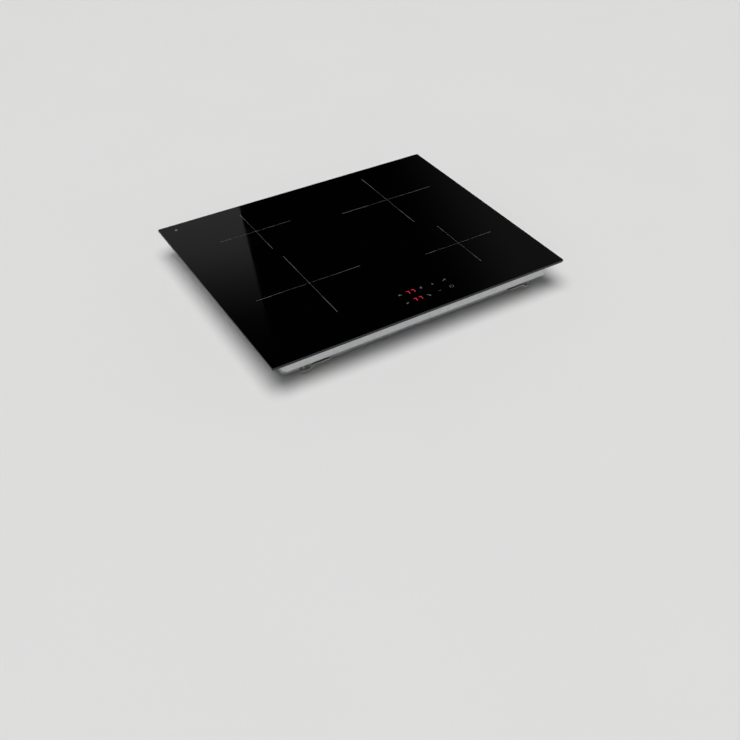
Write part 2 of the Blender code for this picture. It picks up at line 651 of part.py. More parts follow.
def make_carrier(name, outer, parent, finishes):
    """A moulded dish with a lip round the winding, ferrite bars under its floor and three screw ears."""
    rim = (outer + SEAT_GAP) / math.cos(math.pi / DISC_STEPS) + CARRIER_LIP
    lip_top = CARRIER_TOP + CARRIER_LIP_HEIGHT
    profile = [(CARRIER_BORE, CARRIER_BOTTOM), (rim, CARRIER_BOTTOM), (rim, lip_top),
               (rim - CARRIER_LIP, lip_top), (rim - CARRIER_LIP, CARRIER_TOP),
               (CARRIER_BORE + CARRIER_LIP, CARRIER_TOP), (CARRIER_BORE + CARRIER_LIP, lip_top),
               (CARRIER_BORE, lip_top)]
    carrier = piece("coil_carrier_" + name, turned(bmesh.new(), profile, DISC_STEPS, closed=True),
                    finishes["grey_plastic"], parent)
    bars = bmesh.new()
    reach = rim - FERRITE_INSET - FERRITE_START
    for count in range(FERRITE_COUNT):
        start = len(bars.verts)
        prism(bars, rectangle(reach, FERRITE_WIDTH, FERRITE_START + reach / 2, 0.0),
              FERRITE_BOTTOM, CARRIER_BOTTOM + EMBED)
        bars.verts.ensure_lookup_table()
        turn = Matrix.Rotation(2 * math.pi * (count + 0.5) / FERRITE_COUNT, 4, "Z")
        bmesh.ops.transform(bars, matrix=turn, verts=bars.verts[start:])
    combine(carrier, "UNION", "ferrites_" + name, bars, parent)
    ears = bmesh.new()
    holes = bmesh.new()
    for degrees in (30, 150, 270):
        turn = Matrix.Rotation(math.radians(degrees), 4, "Z")
        start = len(ears.verts)
        ear = slot(2 * (EAR_REACH + CARRIER_LIP), EAR_WIDTH, rim, 0.0, SMALL_STEPS // 2)
        prism(ears, ear, CARRIER_BOTTOM - EMBED, CARRIER_TOP - EMBED)
        ears.verts.ensure_lookup_table()
        bmesh.ops.transform(ears, matrix=turn, verts=ears.verts[start:])
        start = len(holes.verts)
        prism(holes, circle(EAR_HOLE, SMALL_STEPS, rim + EAR_REACH / 2, 0.0),
              CARRIER_BOTTOM - THROUGH, CARRIER_TOP + THROUGH)
        holes.verts.ensure_lookup_table()
        bmesh.ops.transform(holes, matrix=turn, verts=holes.verts[start:])
    combine(carrier, "UNION", "ears_" + name, ears, parent)
    combine(carrier, "DIFFERENCE", "ear_holes_" + name, holes, parent)
    return rim


def make_coils(finishes):
    for name, (x, y, diameter) in zone_centres().items():
        zone = empty("zone_" + name, place=(x, y, 0.0))
        outer = diameter / 2 - COIL_MARGIN
        rim = make_carrier(name, outer, zone, finishes)
        rings = spiral_stations(outer)
        print("coil_winding_" + name, "least gap", round(least_turn_gap(rings), 5))
        piece("coil_winding_" + name, loft(bmesh.new(), rings), finishes["copper"], zone)
        top = GLASS_UNDERSIDE - SEAT_GAP
        mat = [(MAT_BORE, MAT_BOTTOM), (rim, MAT_BOTTOM), (rim, top), (MAT_BORE, top)]
        piece("coil_mat_" + name, turned(bmesh.new(), mat, DISC_STEPS, closed=True), finishes["mica"], zone)
        plug = CARRIER_BORE - SEAT_GAP
        sensor = [(plug, FERRITE_BOTTOM), (plug, CARRIER_TOP), (SENSOR_CAP_RADIUS, WIRE_TOP),
                  (SENSOR_CAP_RADIUS, top - EMBED), (SENSOR_CAP_RADIUS - EMBED, top)]
        piece("coil_sensor_" + name, turned(bmesh.new(), sensor, SMALL_STEPS), finishes["silicone"], zone)


def scroll(wall, front):
    """The fan's scroll, clockwise from its tongue: a growing spiral, then a straight throat to the front."""
    start = -math.degrees(math.acos((THROAT_INSIDE - wall) / (SCROLL_RADIUS + wall)))
    points = []
    for step in range(ROUND_STEPS + 1):
        angle = start + (-360.0 - start) * step / ROUND_STEPS
        radius = SCROLL_RADIUS + wall + SCROLL_GROWTH * (start - angle) / (360.0 + start)
        points.append((radius * math.cos(math.radians(angle)), radius * math.sin(math.radians(angle))))
    points.append((SCROLL_END + wall, front))
    points.append((THROAT_INSIDE - wall, front))
    return points


def make_fan_housing(name, hub, finishes):
    """A scroll that is open downwards over the floor's grille and forwards at its throat."""
    body = prism(bmesh.new(), scroll(FAN_WALL, -THROAT_LENGTH), FAN_BOTTOM, FAN_TOP)
    housing = piece("fan_housing_" + name, body, finishes["black_plastic"], hub)
    hollow = prism(bmesh.new(), scroll(0.0, -THROAT_LENGTH - THROUGH), FAN_BOTTOM - THROUGH,
                   FAN_TOP - FAN_WALL)
    combine(housing, "DIFFERENCE", "scroll_hollow_" + name, hollow, hub)


def make_fan_motor(name, hub, finishes):
    """The stator and its shaft, which hang from the housing's roof."""
    roof = FAN_TOP - FAN_WALL - SEAT_GAP
    low = cup_floor() + ROTOR_DISC + RUN_GAP
    profile = [(SHAFT_RADIUS, FAN_BOTTOM + ROTOR_FLOOR_GAP), (SHAFT_RADIUS, low), (MOTOR_RADIUS, low),
               (MOTOR_RADIUS, roof - MOTOR_FLANGE), (MOTOR_FLANGE_RADIUS, roof - MOTOR_FLANGE),
               (MOTOR_FLANGE_RADIUS, roof)]
    piece("fan_motor_" + name, turned(bmesh.new(), profile, ROUND_STEPS), finishes["grey_plastic"], hub)


def cup_floor():
    return FAN_BOTTOM + ROTOR_FLOOR_GAP + SHAFT_BOSS_RADIUS / 2


def make_fan_rotor(name, hub, finishes):
    """A cup over the stator, a back disc, curved blades and a shroud ring at the inlet."""
    disc_top = FAN_TOP - FAN_WALL - ROTOR_TOP_GAP
    disc_low = disc_top - ROTOR_DISC
    cup = MOTOR_RADIUS + RUN_GAP
    low = cup_floor()
    bore = SHAFT_RADIUS + SEAT_GAP
    profile = [(bore, low - SHAFT_BOSS_RADIUS / 4), (SHAFT_BOSS_RADIUS, low - SHAFT_BOSS_RADIUS / 4),
               (SHAFT_BOSS_RADIUS, low), (cup + ROTOR_CUP_WALL, low),
               (cup + ROTOR_CUP_WALL, disc_low), (ROTOR_RADIUS, disc_low), (ROTOR_RADIUS, disc_top),
               (cup, disc_top), (cup, low + ROTOR_DISC), (bore, low + ROTOR_DISC)]
    rotor = piece("fan_rotor_" + name, turned(bmesh.new(), profile, DISC_STEPS, closed=True),
                  finishes["black_plastic"], hub)
    shroud_low = FAN_BOTTOM + ROTOR_FLOOR_GAP
    blades = bmesh.new()
    inner = ROTOR_RADIUS - BLADE_LENGTH
    for count in range(BLADE_COUNT):
        base = 360.0 * count / BLADE_COUNT
        front, back = [], []
        for share in (0.0, 0.5, 1.0):
            radius = inner + (BLADE_LENGTH - BLADE_THICKNESS) * share
            lean = math.radians(base + BLADE_SWEEP * share ** 1.6)
            half = BLADE_THICKNESS / 2 / radius
            front.append((radius * math.cos(lean + half), radius * math.sin(lean + half)))
            back.append((radius * math.cos(lean - half), radius * math.sin(lean - half)))
        prism(blades, front + back[::-1], shroud_low + ROTOR_DISC / 2, disc_low + ROTOR_DISC / 2)
    combine(rotor, "UNION", "blades_" + name, blades, hub)
    ring = [(ROTOR_RADIUS - SHROUD_WIDTH, shroud_low), (ROTOR_RADIUS, shroud_low),
            (ROTOR_RADIUS, shroud_low + ROTOR_DISC), (ROTOR_RADIUS - SHROUD_WIDTH, shroud_low + ROTOR_DISC)]
    combine(rotor, "UNION", "shroud_" + name, turned(bmesh.new(), ring, DISC_STEPS, closed=True), hub)


def make_fans(finishes):
    for name, side in (("left", -1), ("right", 1)):
        hub = empty("fan_axis_" + name, place=(side * FAN_X, FAN_Y, 0.0))
        make_fan_housing(name, hub, finishes)
        make_fan_motor(name, hub, finishes)
        make_fan_rotor(name, hub, finishes)


def make_board_carrier(name, side, finishes):
    """A moulded dish on the tray's floor, with a rim and posts for the board."""
    x = side * BOARD_X
    width = BOARD_WIDTH + 2 * (SEAT_GAP + CARRIER_SHEET)
    depth = BOARD_DEPTH + 2 * (SEAT_GAP + CARRIER_SHEET)
    dish = prism(bmesh.new(), rounded_rectangle(width, depth, TRAY_CORNER, x, BOARD_Y), CARRIER_PLATE_BOTTOM,
                 CARRIER_PLATE_TOP + CARRIER_RIM)
    carrier = piece("board_carrier_" + name, dish, finishes["white_plastic"])
    inside = rounded_rectangle(width - 2 * CARRIER_SHEET, depth - 2 * CARRIER_SHEET,
                               TRAY_CORNER - CARRIER_SHEET, x, BOARD_Y)
    hollow = prism(bmesh.new(), inside, CARRIER_PLATE_TOP, CARRIER_PLATE_TOP + CARRIER_RIM + THROUGH)
    combine(carrier, "DIFFERENCE", "board_carrier_hollow_" + name, hollow)
    posts = bmesh.new()
    for across in (-1, 1):
        for along in (-1, 0, 1):
            spot = circle(POST_RADIUS, SMALL_STEPS, x + across * (BOARD_WIDTH / 2 - POST_INSET),
                          BOARD_Y + along * (BOARD_DEPTH / 2 - POST_INSET))
            prism(posts, spot, CARRIER_PLATE_TOP - EMBED, CARRIER_PLATE_TOP + POST_HEIGHT)
    combine(carrier, "UNION", "board_posts_" + name, posts)


def make_power_board(name, side, finishes):
    """A board with its four corners notched round the carrier's clips."""
    x, right, back = side * BOARD_X, BOARD_WIDTH / 2, BOARD_DEPTH / 2
    outline = []
    for across, along in ((1, -1), (1, 1), (-1, 1), (-1, -1)):
        first = (x + across * (right - BOARD_NOTCH), BOARD_Y + along * back)
        middle = (x + across * (right - BOARD_NOTCH), BOARD_Y + along * (back - BOARD_NOTCH))
        last = (x + across * right, BOARD_Y + along * (back - BOARD_NOTCH))
        corner = [first, middle, last]
        outline += corner if across * along < 0 else corner[::-1]
    body = prism(bmesh.new(), outline, BOARD_BOTTOM, BOARD_TOP)
    piece("power_board_" + name, body, finishes["circuit_board"])


def make_heatsink(name, centre_x, finishes):
    """An extrusion with upright fins, in line with the fan's throat."""
    fins = int((HEATSINK_WIDTH - FIN_THICKNESS) / FIN_PITCH) + 1
    top = COMPONENT_BOTTOM + HEATSINK_HEIGHT
    base = COMPONENT_BOTTOM + HEATSINK_BASE
    span = (fins - 1) * FIN_PITCH + FIN_THICKNESS
    left = centre_x - span / 2
    profile = [(left, COMPONENT_BOTTOM), (left + span, COMPONENT_BOTTOM)]
    for count in reversed(range(fins)):
        fin = left + count * FIN_PITCH
        profile += [(fin + FIN_THICKNESS, base), (fin + FIN_THICKNESS, top), (fin, top), (fin, base)]
    profile = [point for index, point in enumerate(profile) if index not in (2, len(profile) - 1)]
    body = bar_along_y(bmesh.new(), profile, BOARD_REAR - BOARD_EDGE_GAP - HEATSINK_LENGTH,
                       BOARD_REAR - BOARD_EDGE_GAP)
    piece("heatsink_" + name, body, finishes["aluminium"])


def make_capacitor(name, x, y, finishes):
    """A film capacitor's potted case, with its top edges chamfered."""
    top = COMPONENT_BOTTOM + CAPACITOR_HEIGHT
    full = rectangle(CAPACITOR_WIDTH, CAPACITOR_DEPTH, x, y)
    small = rectangle(CAPACITOR_WIDTH - 2 * CAPACITOR_EDGE, CAPACITOR_DEPTH - 2 * CAPACITOR_EDGE, x, y)
    rings = [level(full, COMPONENT_BOTTOM), level(full, top - CAPACITOR_EDGE), level(small, top)]
    piece(name, loft(bmesh.new(), rings), finishes["capacitor_case"])


def make_choke(name, x, y, finishes):
    """A ring core lying flat, with its edges rounded off."""
    low, high, edge = COMPONENT_BOTTOM, COMPONENT_BOTTOM + CHOKE_HEIGHT, CHOKE_EDGE
    profile = [(CHOKE_BORE + edge, low), (CHOKE_RADIUS - edge, low), (CHOKE_RADIUS, low + edge),
               (CHOKE_RADIUS, high - edge), (CHOKE_RADIUS - edge, high), (CHOKE_BORE + edge, high),
               (CHOKE_BORE, high - edge), (CHOKE_BORE, low + edge)]
    core = turned(bmesh.new(), profile, ROUND_STEPS, closed=True)
    piece(name, core, finishes["choke_core"], place=(x, y, 0.0))


def make_electronics(finishes):
    for name, side in (("left", -1), ("right", 1)):
        make_board_carrier(name, side, finishes)
        make_power_board(name, side, finishes)
        sink_x = side * FAN_X + THROAT_X
        make_heatsink(name, sink_x, finishes)
        x = sink_x - COMPONENT_OFFSET
        y = BOARD_REAR - BOARD_EDGE_GAP - CAPACITOR_DEPTH / 2
        make_capacitor("capacitor_rear_" + name, x, y, finishes)
        make_capacitor("capacitor_front_" + name, x, y - CAPACITOR_SPACING, finishes)
        make_choke("choke_" + name, x, y - CAPACITOR_SPACING - CHOKE_SPACING, finishes)


def make_touch_unit(finishes):
    """A shallow frame on the coil plate, with the key board and the two displays against the glass."""
    low = PLATE_TOP + SEAT_GAP
    high = TOUCH_BOARD_BOTTOM - SEAT_GAP
    outline = rectangle(TOUCH_WIDTH, TOUCH_DEPTH, TOUCH_CENTRE_X, TOUCH_Y)
    frame = piece("touch_carrier", prism(bmesh.new(), outline, low, high), finishes["black_plastic"])
    inside = rectangle(TOUCH_WIDTH - 2 * TOUCH_WALL, TOUCH_DEPTH - 2 * TOUCH_WALL, TOUCH_CENTRE_X, TOUCH_Y)
    hollow = prism(bmesh.new(), inside, low + TOUCH_FLOOR, high + THROUGH)
    combine(frame, "DIFFERENCE", "touch_hollow", hollow)
    window = rectangle(RIBBON_WIDTH + 2 * RIBBON_WINDOW_GAP, RIBBON_THICKNESS + 2 * RIBBON_WINDOW_GAP,
                       RIBBON_X, RIBBON_Y)
    combine(frame, "DIFFERENCE", "touch_window", prism(bmesh.new(), window, low - THROUGH, low + THROUGH))
    board = piece("touch_board", prism(bmesh.new(), outline, TOUCH_BOARD_BOTTOM, TOUCH_BOARD_TOP),
                  finishes["circuit_board"])
    keys = bmesh.new()
    front = -GLASS_DEPTH / 2
    for row in (KEY_ROW_REAR, KEY_ROW_FRONT):
        for column in KEY_COLUMNS:
            prism(keys, circle(KEY_RADIUS, SMALL_STEPS, column, front + row), TOUCH_BOARD_TOP - EMBED,
                  GLASS_UNDERSIDE - SEAT_GAP)
    combine(board, "UNION", "key_springs", keys)
    for name, row in (("rear", KEY_ROW_REAR), ("front", KEY_ROW_FRONT)):
        module = rectangle(DISPLAY_WIDTH, DISPLAY_DEPTH, DISPLAY_CENTRE_X, front + row)
        body = prism(bmesh.new(), module, TOUCH_BOARD_TOP + SEAT_GAP, GLASS_UNDERSIDE - SEAT_GAP)
        piece("display_" + name, body, finishes["white_plastic"])


def make_touch_cable(finishes):
    """A flat ribbon that drops from the key board through the plate to the power board in a slack S."""
    high = TOUCH_BOARD_BOTTOM - SEAT_GAP
    low = BOARD_TOP + SEAT_GAP
    slack = PLATE_BOTTOM - RIBBON_WINDOW_GAP
    near, far = [], []
    for step in range(SMALL_STEPS + 1):
        share = step / SMALL_STEPS
        z = slack + (low - slack) * share
        y = RIBBON_Y + RIBBON_SWAY * (1 - math.cos(2 * math.pi * share)) / 2
        near.append((y - RIBBON_THICKNESS / 2, z))
        far.append((y + RIBBON_THICKNESS / 2, z))
    near.insert(0, (RIBBON_Y - RIBBON_THICKNESS / 2, high))
    far.insert(0, (RIBBON_Y + RIBBON_THICKNESS / 2, high))
    body = bar_along_x(bmesh.new(), near + far[::-1], RIBBON_X - RIBBON_WIDTH / 2,
                       RIBBON_X + RIBBON_WIDTH / 2)
    piece("touch_cable", body, finishes["grey_plastic"])


def make_terminal_box(finishes):
    """A box over the opening in the floor, open downwards, with pin holes and the cable's way in."""
    front, rear = BOX_FRONT_INSIDE - BOX_WALL, BOX_REAR_OUTSIDE
    across = BOX_INSIDE_X + BOX_WALL
    outline = rectangle(2 * across, rear - front, 0.0, (front + rear) / 2)
    box = piece("terminal_box", prism(bmesh.new(), outline, BOX_BOTTOM, BOX_TOP), finishes["white_plastic"])
    inside = rectangle(2 * BOX_INSIDE_X, rear - front - 2 * BOX_WALL, 0.0, (front + rear) / 2)
    cuts = prism(bmesh.new(), inside, BOX_BOTTOM - THROUGH, BOX_TOP - BOX_WALL)
    combine(box, "DIFFERENCE", "terminal_hollow", cuts)
    holes = bmesh.new()
    pin = circle(PIN_RADIUS + SEAT_GAP, SMALL_STEPS, HINGE_Y, HINGE_Z)
    bar_along_x(holes, pin, -across - THROUGH, across + THROUGH)
    inlet = circle(INLET_FLANGE, ROUND_STEPS, 0.0, INLET_Z)
    bar_along_y(holes, inlet, rear - 2 * BOX_WALL, rear + THROUGH)
    combine(box, "DIFFERENCE", "terminal_holes", holes)


def make_terminal_block(finishes):
    """A row of poles between barriers, fixed under the box's roof, with its screws facing down."""
    top = BOX_TOP - BOX_WALL - SEAT_GAP
    step = top - BLOCK_HEIGHT + BLOCK_STEP
    length = POLE_COUNT * POLE_PITCH + BARRIER
    profile = [(length / 2, top), (-length / 2, top)]
    for pole in range(POLE_COUNT + 1):
        left = pole * POLE_PITCH - length / 2
        profile += [(left, step), (left, top - BLOCK_HEIGHT), (left + BARRIER, top - BLOCK_HEIGHT),
                    (left + BARRIER, step)]
    profile = [point for index, point in enumerate(profile) if index not in (2, len(profile) - 1)]
    start = HINGE_Y + BLOCK_FROM_HINGE
    body = bar_along_y(bmesh.new(), profile, start, start + BLOCK_DEPTH)
    piece("terminal_block", body, finishes["white_plastic"])


def make_terminal_cover(finishes):
    """A lid flush with the floor, with two knuckles and pins about the hinge axis and a notch to lift it by."""
    hinge = empty("cover_hinge", place=(0.0, HINGE_Y, HINGE_Z))
    half = TERMINAL_WIDTH / 2 - COVER_GAP
    middle = (COVER_FRONT + COVER_REAR) / 2 - HINGE_Y
    body = prism(bmesh.new(), rectangle(2 * half, COVER_REAR - COVER_FRONT, 0.0, middle),
                 COVER_BOTTOM - HINGE_Z, COVER_TOP - HINGE_Z)
    cover = piece("terminal_cover", body, finishes["white_plastic"], hinge)
    notch = rectangle(NOTCH_WIDTH, 2 * NOTCH_DEPTH, 0.0, COVER_REAR - HINGE_Y)
    combine(cover, "DIFFERENCE", "cover_notch", prism(bmesh.new(), notch, -HINGE_Z, COVER_TOP), hinge)
    knuckles = bmesh.new()
    pins = bmesh.new()
    for side in (-1, 1):
        foot = COVER_TOP - HINGE_Z - EMBED
        profile = [(-KNUCKLE_RADIUS, foot)] + [(KNUCKLE_RADIUS, foot)]
        profile += arc(KNUCKLE_RADIUS, 0, 180, 2 * SLOT_STEPS)
        bar_along_x(knuckles, profile, side * (half - EMBED), side * (half - KNUCKLE_WIDTH))
        bar_along_x(pins, circle(PIN_RADIUS, SMALL_STEPS), side * (half - KNUCKLE_WIDTH / 2),
                    side * (BOX_INSIDE_X + BOX_WALL - SEAT_GAP))
    combine(cover, "UNION", "cover_knuckles", knuckles, hinge)
    combine(cover, "UNION", "cover_pins", pins, hinge)


def make_cable_grommet(finishes):
    """A rubber ring in the tray's rear wall, with a flange on each side of the sheet."""
    inner, outer = LOWER_INSIDE_Y - SEAT_GAP, LOWER_DEPTH / 2 + SEAT_GAP
    first, last = inner - INLET_FLANGE_THICKNESS, outer + INLET_FLANGE_THICKNESS
    profile = [(INLET_BORE, first), (INLET_FLANGE, first), (INLET_FLANGE, inner), (INLET_NECK, inner),
               (INLET_NECK, outer), (INLET_FLANGE, outer), (INLET_FLANGE, last), (INLET_BORE, last)]
    rings = []
    for radius, y in profile:
        rings.append([(x, y, INLET_Z + z) for x, z in circle(radius, ROUND_STEPS)])
    piece("cable_grommet", loft(bmesh.new(), rings, closed=True), finishes["rubber"])


def clamp_body():
    """A cranked strip along +X from its pivot: a round foot, a rise and an arm with an upturned tip."""
    foot, rise, top = CLAMP_STRIP, CLAMP_JOG + CLAMP_STRIP, CLAMP_JOG
    lower = [(-CLAMP_WIDTH, 0.0), (CLAMP_FOOT, 0.0), (CLAMP_FOOT + CLAMP_RISE_RUN, top), (CLAMP_LENGTH, top)]
    upper = [(CLAMP_LENGTH, rise), (CLAMP_FOOT + CLAMP_RISE_RUN - CLAMP_STRIP / 2, rise),
             (CLAMP_FOOT - CLAMP_STRIP / 2, foot), (-CLAMP_WIDTH, foot)]
    return bar_along_y(bmesh.new(), lower + upper, -CLAMP_WIDTH / 2, CLAMP_WIDTH / 2)


def make_clamps(finishes):
    """Strips that turn on upright screws under the tray's ledges, drawn tucked in along the walls."""
    for end_name, end in (("front", -1), ("rear", 1)):
        for side_name, side in (("left", -1), ("right", 1)):
            name = end_name + "_" + side_name
            pivot = empty("clamp_pivot_" + name, place=(side * CLAMP_X, end * CLAMP_Y, CLAMP_FOOT_BOTTOM),
                          turn=0.0 if side < 0 else math.pi)
            clamp = piece("clamp_" + name, clamp_body(), finishes["spring_steel"], pivot)
            blank = slot(2 * CLAMP_LENGTH, CLAMP_WIDTH, CLAMP_LENGTH - CLAMP_WIDTH / 2, 0.0, SMALL_STEPS)
            combine(clamp, "INTERSECT", "clamp_blank_" + name,
                    prism(bmesh.new(), blank, -THROUGH, CLAMP_JOG + THROUGH), pivot)
            hole = prism(bmesh.new(), circle(SCREW_RADIUS + SEAT_GAP, SMALL_STEPS), -THROUGH, THROUGH)
            combine(clamp, "DIFFERENCE", "clamp_hole_" + name, hole, pivot)
            head = -SEAT_GAP
            end_top = LEDGE_TOP - CLAMP_FOOT_BOTTOM + SCREW_PROUD
            profile = [(SCREW_HEAD_RADIUS - EMBED, head - SCREW_HEAD_HEIGHT),
                       (SCREW_HEAD_RADIUS, head - 2 * EMBED), (SCREW_HEAD_RADIUS, head),
                       (SCREW_RADIUS, head), (SCREW_RADIUS, end_top - EMBED), (SCREW_RADIUS - EMBED, end_top)]
            screw = turned(bmesh.new(), profile, SMALL_STEPS)
            piece("clamp_screw_" + name, screw, finishes["screw_steel"], pivot)


def build():
    clear_scene()
    finishes = make_finishes()
    make_glass(finishes)
    make_gasket(finishes)
    make_tray(finishes)
    make_rails(finishes)
    make_coil_plate(finishes)
    make_coils(finishes)
    make_fans(finishes)
    make_electronics(finishes)
    make_touch_unit(finishes)
    make_touch_cable(finishes)
    make_terminal_box(finishes)
    make_terminal_block(finishes)
    make_terminal_cover(finishes)
    make_cable_grommet(finishes)
    make_clamps(finishes)


build()
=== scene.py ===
"""The looks of a built-in induction hob: glass with printed marks and lit digits over a pressed steel tray.

Metres, +Z up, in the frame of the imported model: X along the front edge to the user's right, Y to the rear.
"""

import math

import bmesh
import bpy
import numpy as np
from bpy.props import FloatProperty, FloatVectorProperty, IntProperty, PointerProperty
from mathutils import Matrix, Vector
from mathutils.geometry import tessellate_polygon


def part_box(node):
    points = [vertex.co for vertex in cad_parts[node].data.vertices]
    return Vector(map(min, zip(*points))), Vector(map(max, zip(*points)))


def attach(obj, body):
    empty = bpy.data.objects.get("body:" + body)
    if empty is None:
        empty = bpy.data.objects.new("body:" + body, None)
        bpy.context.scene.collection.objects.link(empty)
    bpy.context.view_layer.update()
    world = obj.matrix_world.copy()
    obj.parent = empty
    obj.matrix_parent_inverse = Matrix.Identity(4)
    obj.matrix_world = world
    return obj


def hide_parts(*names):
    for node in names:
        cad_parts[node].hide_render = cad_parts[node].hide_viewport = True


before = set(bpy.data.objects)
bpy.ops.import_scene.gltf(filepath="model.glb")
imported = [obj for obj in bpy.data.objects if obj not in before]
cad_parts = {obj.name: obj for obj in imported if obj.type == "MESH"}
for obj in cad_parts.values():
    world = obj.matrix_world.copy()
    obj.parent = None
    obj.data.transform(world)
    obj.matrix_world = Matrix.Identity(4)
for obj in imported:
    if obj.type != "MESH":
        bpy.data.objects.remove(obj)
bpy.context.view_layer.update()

bl_info = {
    "name": "Induction hob looks",
    "version": (1, 0, 0),
    "blender": (4, 5, 0),
    "location": "3D View > Sidebar > Hob",
    "description": "Dresses the solids of a built-in induction hob",
    "category": "Object",
}

# Places of the solids
GLASS_LOW, GLASS_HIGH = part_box("glass_top")
TAPE_LOW, TAPE_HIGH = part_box("rim_gasket")
TRAY_LOW, TRAY_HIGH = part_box("bottom_tray")
GROMMET_LOW, GROMMET_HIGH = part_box("cable_grommet")
COVER_LOW, COVER_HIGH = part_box("terminal_cover")
TERMINAL_LOW, TERMINAL_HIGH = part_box("terminal_block")
BOARD_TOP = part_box("power_board_left")[1].z

# Names that repeat in the solids
ZONES = ("rear_left", "front_left", "rear_right", "front_right")
SIDES = (("left", -1), ("right", 1))
ENDS = ("front", "rear")

# Turns that bring a part which faces up to face another way, or turn it about Z
FACING_UP = np.eye(3)
FACING_DOWN = np.diag([1.0, -1.0, -1.0])
FACING_RIGHT = np.array([[0.0, 0.0, 1.0], [0.0, 1.0, 0.0], [-1.0, 0.0, 0.0]])
FACING_LEFT = np.array([[0.0, 0.0, -1.0], [0.0, 1.0, 0.0], [1.0, 0.0, 0.0]])
FACING_REAR = np.array([[1.0, 0.0, 0.0], [0.0, 0.0, 1.0], [0.0, -1.0, 0.0]])
FACING_FRONT = np.array([[1.0, 0.0, 0.0], [0.0, 0.0, -1.0], [0.0, 1.0, 0.0]])
QUARTER_TURN = np.array([[0.0, -1.0, 0.0], [1.0, 0.0, 0.0], [0.0, 0.0, 1.0]])
HALF_TURN = QUARTER_TURN @ QUARTER_TURN

FULL_CIRCLE = 2 * math.pi
MILLIMETRE = 0.001
# A factor that keeps a place's x and y and brings it to height 0
ON_THE_FLOOR = (1.0, 1.0, 0.0)
# Vertices nearer than this are made one, and edges that turn by less than this are shaded smooth
WELD = 0.000002
SMOOTH_BELOW = math.radians(32)
# Sides of a plain circle
ROUND = 32
# Steps of a block's edges, and the radius of its upright edges as a multiple of the others'
BLOCK_STEPS = 3
BLOCK_CORNER = 1.5


# Settings

def length(name, description, default):
    """A size in metres."""
    return FloatProperty(name=name, description=description, default=default, min=0.0, unit="LENGTH",
                         precision=5)


def colour(name, description, default):
    """A colour in linear light."""
    return FloatVectorProperty(name=name, description=description, default=default, min=0.0, max=1.0,
                               size=3, subtype="COLOR")


class HobGlassSettings(bpy.types.PropertyGroup):
    """Sizes and colours of the glass, its print and its lit digits"""

    corner: length("Corner", "Radius of the plate's corners seen from above", 0.0025)
    arris: length("Arris", "Radius of the ground edges", 0.0006)
    line: length("Line", "Width of the outer part of a printed arm", 0.00053)
    fine_line: length("Fine line", "Width of the inner part of a printed arm", 0.00026)
    smallest_pan: length("Smallest pan", "Width over which the printed arms are fine", 0.103)
    stroke: length("Stroke", "Width of the lines of the key symbols", 0.00075)
    large: length("Large mark", "Length of the arms over a large zone", 0.210)
    small: length("Small mark", "Length of the arms over a small zone", 0.150)
    digit_height: length("Digit height", "Height of a lit digit", 0.0089)
    digit_width: length("Digit width", "Width of a lit digit", 0.0057)
    digit_bar: length("Digit bar", "Thickness of the bars of a digit", 0.00063)
    glass: colour("Glass", "Body of the glass", (0.0004, 0.0004, 0.00045))
    ground: colour("Ground edge", "Edge of the glass where it is ground", (0.009, 0.0092, 0.0095))
    ink: colour("Ink", "Printed lines and symbols", (0.17, 0.17, 0.174))
    lit: colour("Lit digits", "Light of the digits", (0.86, 0.028, 0.062))


class HobTraySettings(bpy.types.PropertyGroup):
    """Sizes and colour of the pressed tray"""

    sheet: length("Sheet", "Thickness of the tray's sheet", 0.001)
    corner: length("Corner", "Radius of the tray's corners seen from above", 0.012)
    bend: length("Bend", "Outer radius of the bends at the floor and the ledge", 0.003)
    ledge_bend: length("Ledge bend", "Radius of the bend from the lower wall to the ledge", 0.0015)
    ledge_height: length("Ledge height", "Underside of the ledge above the feet", 0.024)
    ledge_depth: length("Ledge depth", "Width of the ledge at the front and the rear", 0.018)
    ledge_side: length("Ledge side", "Width of the ledge at the sides", 0.006)
    foot_depth: length("Foot depth", "How far the feet stand below the floor", 0.0025)
    steel: colour("Steel", "Zinc-coated sheet", (0.56, 0.57, 0.58))


